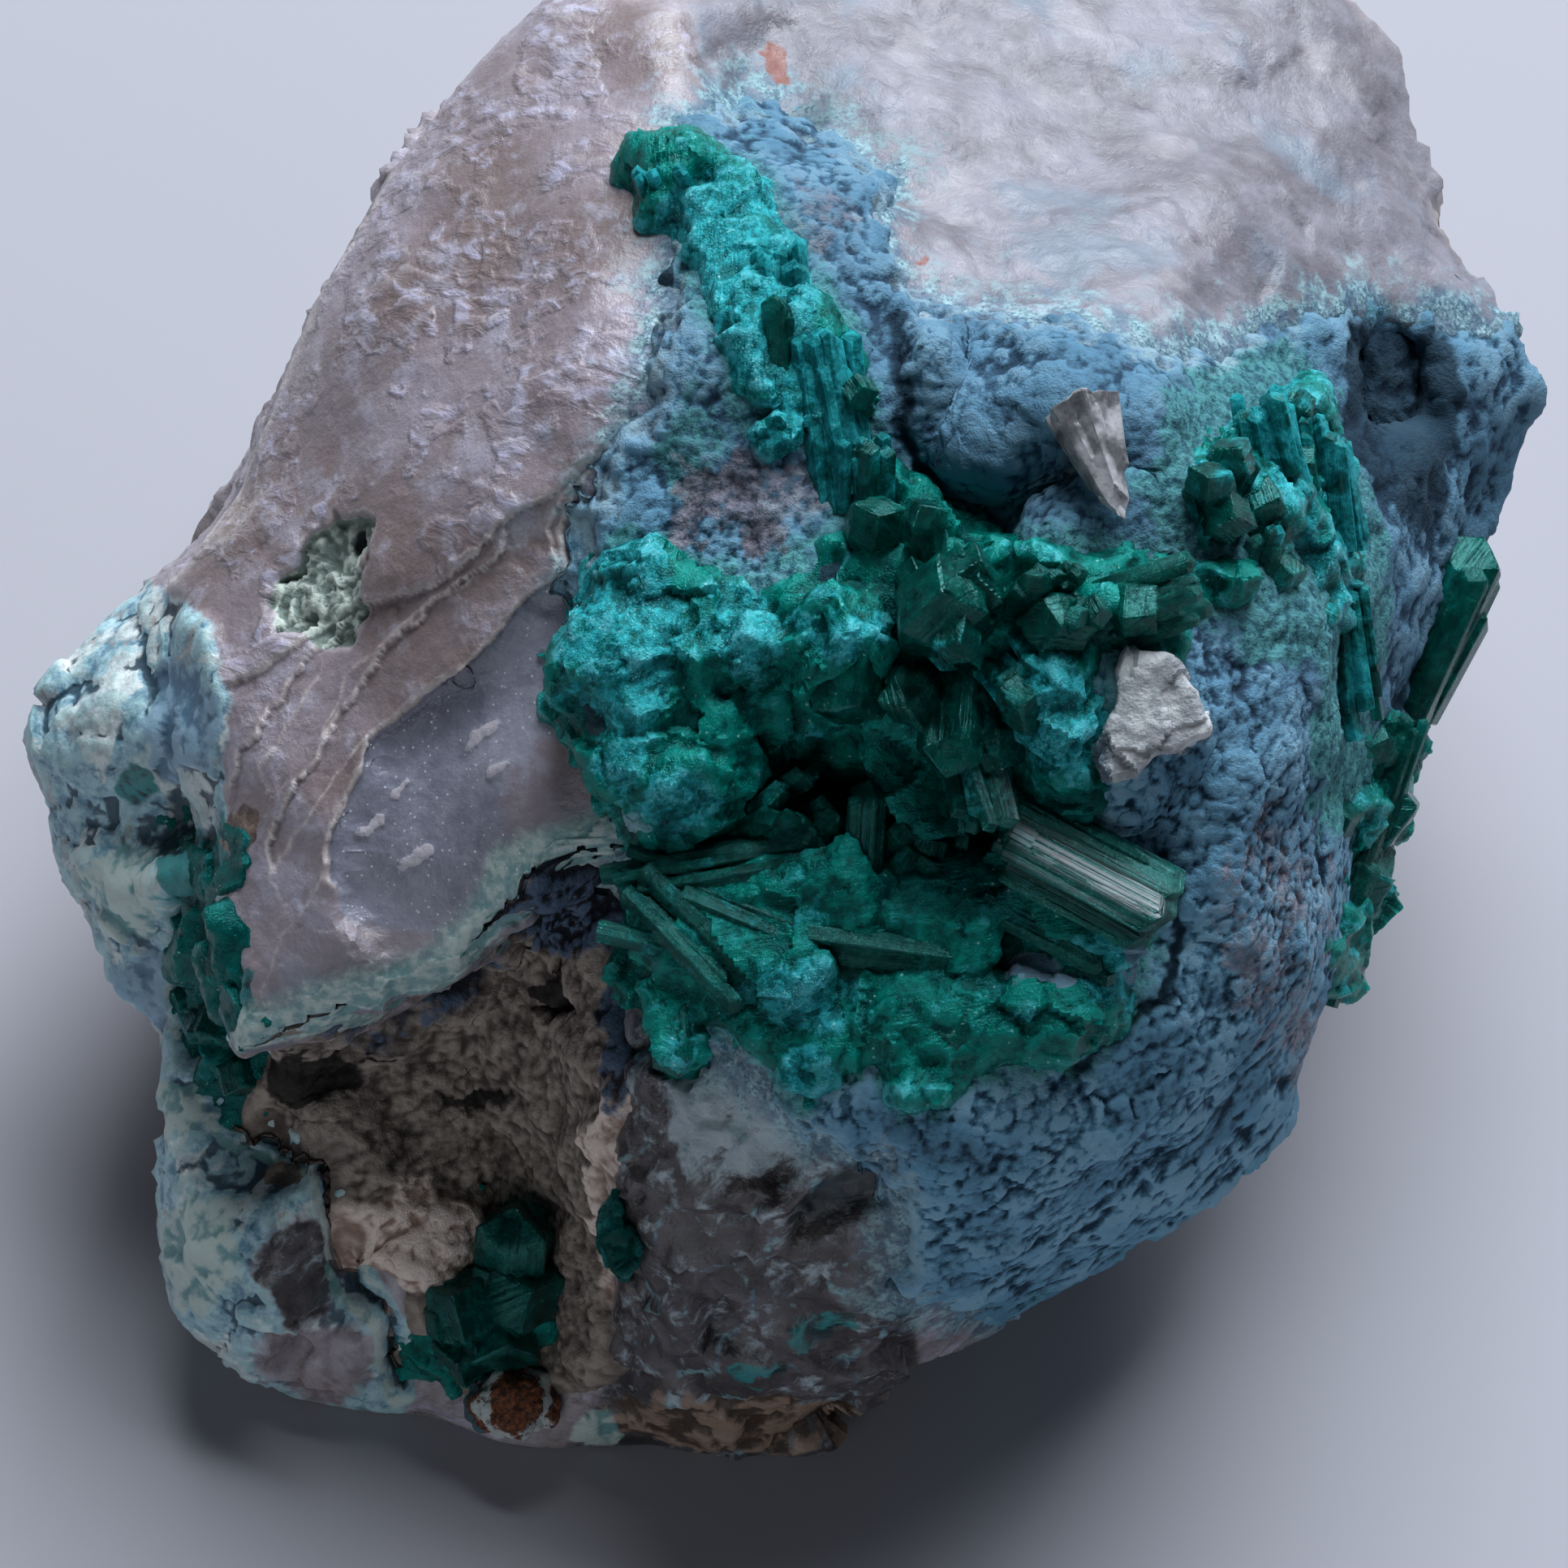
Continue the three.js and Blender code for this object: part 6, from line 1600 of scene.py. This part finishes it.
def sprinkle(mass, outline, count, sizes, chance, lift=BED_LIFT):
    """Small crystals on the stone inside an outline."""
    mesh = stone_skin()
    points = points_of(mesh)
    slopes = slopes_of(mesh)
    u, v, w = on_face(points)
    inside = depth_inside(u, v, outline)
    spots = np.flatnonzero((inside > 0.4) & (w > BED_BACK) & (slopes @ OUT > -0.3))
    template = prism_template("plain")
    for _ in range(count):
        spot = int(spots[chance.randrange(len(spots))])
        radius = chance.uniform(*sizes) * chance.uniform(0.6, 1)
        tilt = Vector([chance.gauss(0, 0.6) for _ in range(3)])
        axis = (Vector(slopes[spot]) + tilt).normalized()
        stand = lift + radius * chance.uniform(-0.8, 0.1)
        tip = points[spot] + slopes[spot] * stand + np.array([chance.uniform(-0.3, 0.3) for _ in range(3)])
        mass.add(template, tip, axis, chance.uniform(0, 2), radius, radius * chance.uniform(2.2, 3.6), 0.5,
                 chance.uniform(0.75, 1.3))
    bpy.data.meshes.remove(mesh)


def fused_mass(name, outline, frosted, frost_of, painted_shade_of=None, dust_of=None, lift=BED_LIFT - 0.2):
    """The bed under a group and its frosted crystals, grown into one mass."""
    cover = bed_cover(outline)
    bed = coating(f"{name}_bed", cover, 0)
    mesh = bed.data
    points = points_of(mesh)
    relief = 1.1 * chips(points, 3.6, 3) + 0.3 * waves(points, 1.8)
    settle_coating(mesh, cover, lift, relief)
    mass = join(name, [bed, frosted.piece(f"{name}_frosted")])
    apply_modifier(mass, "REMESH", mode="VOXEL", voxel_size=FUSED_VOXEL * MM)
    apply_modifier(mass, "SMOOTH", factor=0.5, iterations=3)
    mesh = mass.data
    points = points_of(mesh)
    u, v, w = on_face(points)
    torn = ragged_places(points, u, v)
    relief = 0.34 * chips(points, 3.2, 6) + 0.12 * chips(points, 1.3, 8) + 0.06 * chips(points, 0.7,
        5) + 0.05
    grain = 0.09 * (knobs(points, 0.5) - 0.5) + 0.05 * waves(points, 0.4)
    relief += grain * soft(frost_of(*torn), 0.3, 0.7)
    push_out(mesh, points, slopes_of(mesh), relief)
    keep_mask(mesh, "frost", frost_of(*torn))
    keep_mask(mesh, "crest", prominence(mesh, 6, 0.12))
    for mask, values_of in (("dark", painted_shade_of), ("dust", dust_of)):
        keep_mask(mesh, mask, values_of(*torn) if values_of else np.zeros(len(u)))
    keep_mask(mesh, "fibrous", soft(v, 11, 14) if name == "cluster_mass" else np.zeros(len(u)))
    keep_mask(mesh, "blades", around(*torn, (5, -6.8), (12, 6)))
    smooth_look(mass, 35)
    finish(mass, fused_finish(), "emerald")
    return mass


def cluster_frost(u, v):
    """How frosty the middle is: turquoise on the ridge and at the left, clear in the middle."""
    return np.maximum(0.2, patches(
        u, v, (-2.5, 22, 5, 7, 0.9), (0.4, 16, 3, 3, 0.9), (-7.2, 6, 3.6, 6.5, 0.75),
        (-2.4, 7, 3, 2.4, 0.7), (2.8, 7, 2.8, 1.8, 0.75), (-4.8, -1, 2.4, 2, 0.75),
        (12.4, 3, 2.6, 3.6, 0.8), (1.2, -9, 3.8, 2.6, 0.75), (14.3, -7.6, 1.8, 2.8, 0.9),
        (0.6, -13.2, 2, 1.6, 0.85), (6, -13.8, 2.4, 1.2, 0.75), (-4.6, -11.4, 1.2, 2.4, 0.45)))


def cluster_cleft_shade(u, v):
    """Painted shade in the deep clefts between the crystals of the middle."""
    return patches(u, v, (-4.6, -2.1, 1.6, 1, 1), (2.4, 0, 4, 1.2, 0.7), (7.4, -3.6, 4.2, 3, 0.85),
        (13.2, -1.4, 2.4, 1.2, 1), (-5.2, 21.2, 0.9, 1.6, 0.8), (4.2, 11.6, 1.2, 3.4, 0.85),
        (5.2, 7.2, 1, 2.4, 0.7), (-0.2, 19.4, 0.7, 2.4, 0.6))


def cluster_dust(u, v):
    """Where blue dust lies on the crystals of the middle."""
    return patches(u, v, (-0.3, -2, 1.9, 1.3, 1), (11.2, -8.6, 1.7, 0.8, 1), (15.6, -7.6, 0.9, 2, 1),
        (-1.6, 13.6, 1.6, 1.4, 0.7))


class SPECIMEN_OT_cluster(bpy.types.Operator):
    """Grow the crystals of the middle"""

    bl_idname = "specimen.cluster"
    bl_label = "Middle crystals"

    def execute(self, context):
        chance = random.Random(11)
        clear, frosted = PrismMass(), PrismMass()
        crystals = RIDGE_CRYSTALS + MAIN_CRYSTALS + TURQUOISE_CRYSTALS + HOLLOW_CRYSTALS
        add_group(clear, frosted, crystals, chance)
        add_bundles(clear, MAIN_BUNDLES, chance)
        add_plates(frosted, PLATES, chance)
        add_plates(clear, GLARE_PLATES, chance)
        sprinkle(frosted, CLUSTER_OUTLINE, context.scene.specimen.small_crystals, (0.9, 2.1), chance)
        fused_mass("cluster_mass", CLUSTER_OUTLINE, frosted, cluster_frost, cluster_cleft_shade, cluster_dust)
        cluster = clear.piece("cluster_prisms")
        u, v, w = on_face(points_of(cluster.data))
        # Painted reflection on the faces in the band that mirror the light.
        facing = soft(slopes_of(cluster.data) @ np.array(leaning(*GLINT)), 0.7, 0.9)
        band = np.exp(-(line_distance(u, v, GLARE_BAND) / 1.3) ** 4) * soft(w, 4.5, 5.5)
        keep_mask(cluster.data, "painted_glare", band * facing)
        smooth_look(cluster, 25)
        finish(cluster, emerald_finish(), "emerald", "crystal_cluster")
        return {"FINISHED"}


class SPECIMEN_OT_outer_crystals(bpy.types.Operator):
    """Grow the crystals of the flank, the rim, the edge, the left recess and the pocket"""

    bl_idname = "specimen.outer_crystals"
    bl_label = "Outer crystals"

    def execute(self, context):
        material = emerald_finish()
        groups = [
            ("flank", FLANK_OUTLINE, FLANK_CRYSTALS, FLANK_BUNDLES, 20, 0.6, "crystals_flank"),
            ("rim", RIM_OUTLINE, RIM_CRYSTALS, RIM_BUNDLES, 0, 0.35, "crystals_rim"),
            ("left", LEFT_OUTLINE, LEFT_CRYSTALS, [], 0, 0.2, "crystals_left"),
            ("pocket", POCKET_OUTLINE, POCKET_CRYSTALS, [], 0, 0.0, "crystals_pocket"),
        ]
        for number, (name, outline, crystals, bundles, count, frost, node) in enumerate(groups):
            chance = random.Random(20 + number)

            def frost_of(u, v, frost=frost):
                return np.full(len(u), frost)

            # The left crystals, in the left recess, are darkened all over: painted shade.
            def painted_shade_of(u, v, dark=0.75 if name == "left" else 0.0):
                return np.full(len(u), dark)

            clear, frosted = PrismMass(), PrismMass()
            add_group(clear, frosted, crystals, chance)
            add_bundles(clear, bundles, chance)
            sprinkle(frosted, outline, count, (0.35, 0.9), chance)
            mass = fused_mass(f"{name}_mass", outline, frosted, frost_of, painted_shade_of,
                              lift=0.5 if name == "left" else BED_LIFT - 0.2)
            if clear.count:
                prisms = clear.piece(f"{name}_prisms")
                smooth_look(prisms, 25)
                finish(prisms, material, "emerald", node)
            else:
                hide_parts(node)
        clear = PrismMass()
        add_group(clear, clear, EDGE_CRYSTALS, random.Random(30))
        edge = clear.piece("edge_prism")
        smooth_look(edge, 25)
        finish(edge, material, "emerald", "crystal_edge")
        vein = refined_copy("green_vein", "crystal_vein", 0.16, 4)
        mesh = vein.data
        points = points_of(mesh)
        move_points(mesh, points + slopes_of(mesh) * (0.25 * chips(points, 1.0, 3) + 0.2)[:, None])
        mesh.uv_layers.new(name="grain")
        keep_mask(mesh, "frost", np.full(len(points), 0.35))
        keep_mask(mesh, "crest", prominence(mesh, 5, 0.08))
        finish(vein, material, "emerald", "crystal_vein")
        return {"FINISHED"}


# ------------------------------------------------------------------ small pieces


class SPECIMEN_OT_small_pieces(bpy.types.Operator):
    """Add the white chip, the clear quartz point and the brown nodule"""

    bl_idname = "specimen.small_pieces"
    bl_label = "Small pieces"

    def execute(self, context):
        chip = refined_copy("white_chip", "quartz_chip", 0.16, 2)
        mesh = chip.data
        points = points_of(mesh)
        broken = 0.4 * chips(points, 2.6, 2) + 0.1 * chips(points, 1.0, 3) + 0.06 * waves(points, 0.4) + 0.1
        move_points(mesh, points + slopes_of(mesh) * broken[:, None])
        u, v, w = on_face(points)
        torn = ragged_places(points, u, v)
        blue = np.maximum(patches(*torn, (14.6, -1.8, 1.2, 1.4, 1), (14.3, 1, 0.8, 1.8, 0.8)),
            1 - soft(w, 6.6, 7.8))
        keep_mask(mesh, "blue", blue)
        smooth_look(chip, 40)
        finish(chip, chip_finish(), "chip", "quartz_chip")

        point = PrismMass()
        add_group(point, point, [QUARTZ_POINT], random.Random(41))
        shard = point.piece("clear_point")
        tip = place(*QUARTZ_POINT[:3])
        axis = np.array(leaning(*QUARTZ_POINT[3:6]))
        offset = points_of(shard.data) - tip
        back = -(offset @ axis)[:, None]
        taper = 0.35 + 0.8 * np.clip(back / QUARTZ_POINT[7], 0, 1)
        points = tip - axis * back + (offset + axis * back) * taper
        points = points + slopes_of(shard.data) * (0.18 * chips(points, 1.6, 3))[:, None]
        move_points(shard.data, points)
        smooth_look(shard, 25)
        finish(shard, clear_quartz_finish(), "clear_quartz", "quartz_point")

        nodule = refined_copy("round_nodule", "brown_nodule", 0.14, 5)
        mesh = nodule.data
        points = points_of(mesh)
        lumps = 0.6 * knobs(points, 0.9, 3) + 0.2 * knobs(points, 0.4, 4) + 0.3 * waves(points, 1.2) - 0.35
        move_points(mesh, points + slopes_of(mesh) * lumps[:, None])
        u, v, w = on_face(points)
        reach = np.hypot(u + 11.9, v + 27.3) + 0.5 * waves(points, 1.0)
        keep_mask(mesh, "ring", np.exp(-((reach - 1.35) / 0.3) ** 2))
        keep_mask(mesh, "rim", soft(reach, 1.6, 2.0))
        smooth_look(nodule)
        finish(nodule, nodule_finish(), "nodule", "brown_nodule")
        return {"FINISHED"}


# ------------------------------------------------------------------ the stage

CAMERA_DISTANCE = 330.0
VIEW_WIDTH = 69.0
SENSOR_WIDTH = 36.0


class SPECIMEN_OT_stage(bpy.types.Operator):
    """Set out the floor, the light and the camera"""

    bl_idname = "specimen.stage"
    bl_label = "Stage"

    def execute(self, context):
        settings = context.scene.specimen
        scene = context.scene
        bpy.ops.object.select_all(action="DESELECT")
        bpy.ops.mesh.primitive_plane_add(size=2)
        floor = context.active_object
        floor.name = "floor"
        floor.data.materials.append(floor_finish(tuple(settings.floor_colour)))

        world = bpy.data.worlds.new("room")
        scene.world = world
        world.use_nodes = True
        background = world.node_tree.nodes["Background"]
        background.inputs["Color"].default_value = tint(182, 196, 222)
        background.inputs["Strength"].default_value = settings.room_light

        aim = Vector((0, -0.005, 0.025))
        for name, spot, size, power, colour in (
            ("ceiling", (0.115, 0.29, 0.45), 0.42, settings.light_power, (0.84, 0.91, 1.0)),
            ("front_fill", (-0.14, -0.42, 0.12), 0.3, settings.light_power * 0.058, (0.84, 0.92, 1.0)),
        ):
            light = bpy.data.lights.new(name, "AREA")
            light.size = size
            light.energy = power
            light.color = colour
            lamp = bpy.data.objects.new(name, light)
            lamp.location = spot
            lamp.rotation_euler = (aim - Vector(spot)).to_track_quat("-Z", "Y").to_euler()
            scene.collection.objects.link(lamp)

        centre = Vector(FACE_CENTRE * MM)
        away = Vector(OUT)
        lens = bpy.data.cameras.new("camera")
        lens.sensor_width = SENSOR_WIDTH
        lens.lens = SENSOR_WIDTH * CAMERA_DISTANCE / VIEW_WIDTH
        lens.clip_start = 0.01
        lens.clip_end = 10
        camera = bpy.data.objects.new("camera", lens)
        camera.location = centre + away * (CAMERA_DISTANCE * MM)
        camera.rotation_euler = (-away).to_track_quat("-Z", "Y").to_euler()
        scene.collection.objects.link(camera)
        scene.camera = camera
        scene.view_settings.view_transform = "Standard"
        return {"FINISHED"}


# ------------------------------------------------------------------ panel and main


class SPECIMEN_PT_panel(bpy.types.Panel):
    """Lists the specimen's settings and steps"""

    bl_idname = "SPECIMEN_PT_panel"
    bl_label = "Specimen"
    bl_space_type = "VIEW_3D"
    bl_region_type = "UI"
    bl_category = "Specimen"

    def draw(self, context):
        settings = context.scene.specimen
        for name in SpecimenSettings.__annotations__:
            self.layout.prop(settings, name)
        for step in STEPS:
            self.layout.operator(step.bl_idname)


STEPS = (
    SPECIMEN_OT_quartz,
    SPECIMEN_OT_crust,
    SPECIMEN_OT_clay,
    SPECIMEN_OT_cluster,
    SPECIMEN_OT_outer_crystals,
    SPECIMEN_OT_small_pieces,
    SPECIMEN_OT_stage,
)


def register():
    for item in (SpecimenSettings, *STEPS, SPECIMEN_PT_panel):
        bpy.utils.register_class(item)
    bpy.types.Scene.specimen = bpy.props.PointerProperty(type=SpecimenSettings)


def unregister():
    del bpy.types.Scene.specimen
    for item in reversed((SpecimenSettings, *STEPS, SPECIMEN_PT_panel)):
        bpy.utils.unregister_class(item)


def main():
    register()
    bpy.ops.specimen.quartz()
    bpy.ops.specimen.crust()
    bpy.ops.specimen.clay()
    bpy.ops.specimen.cluster()
    bpy.ops.specimen.outer_crystals()
    bpy.ops.specimen.small_pieces()
    bpy.ops.specimen.stage()


if __name__ == "__main__":
    main()
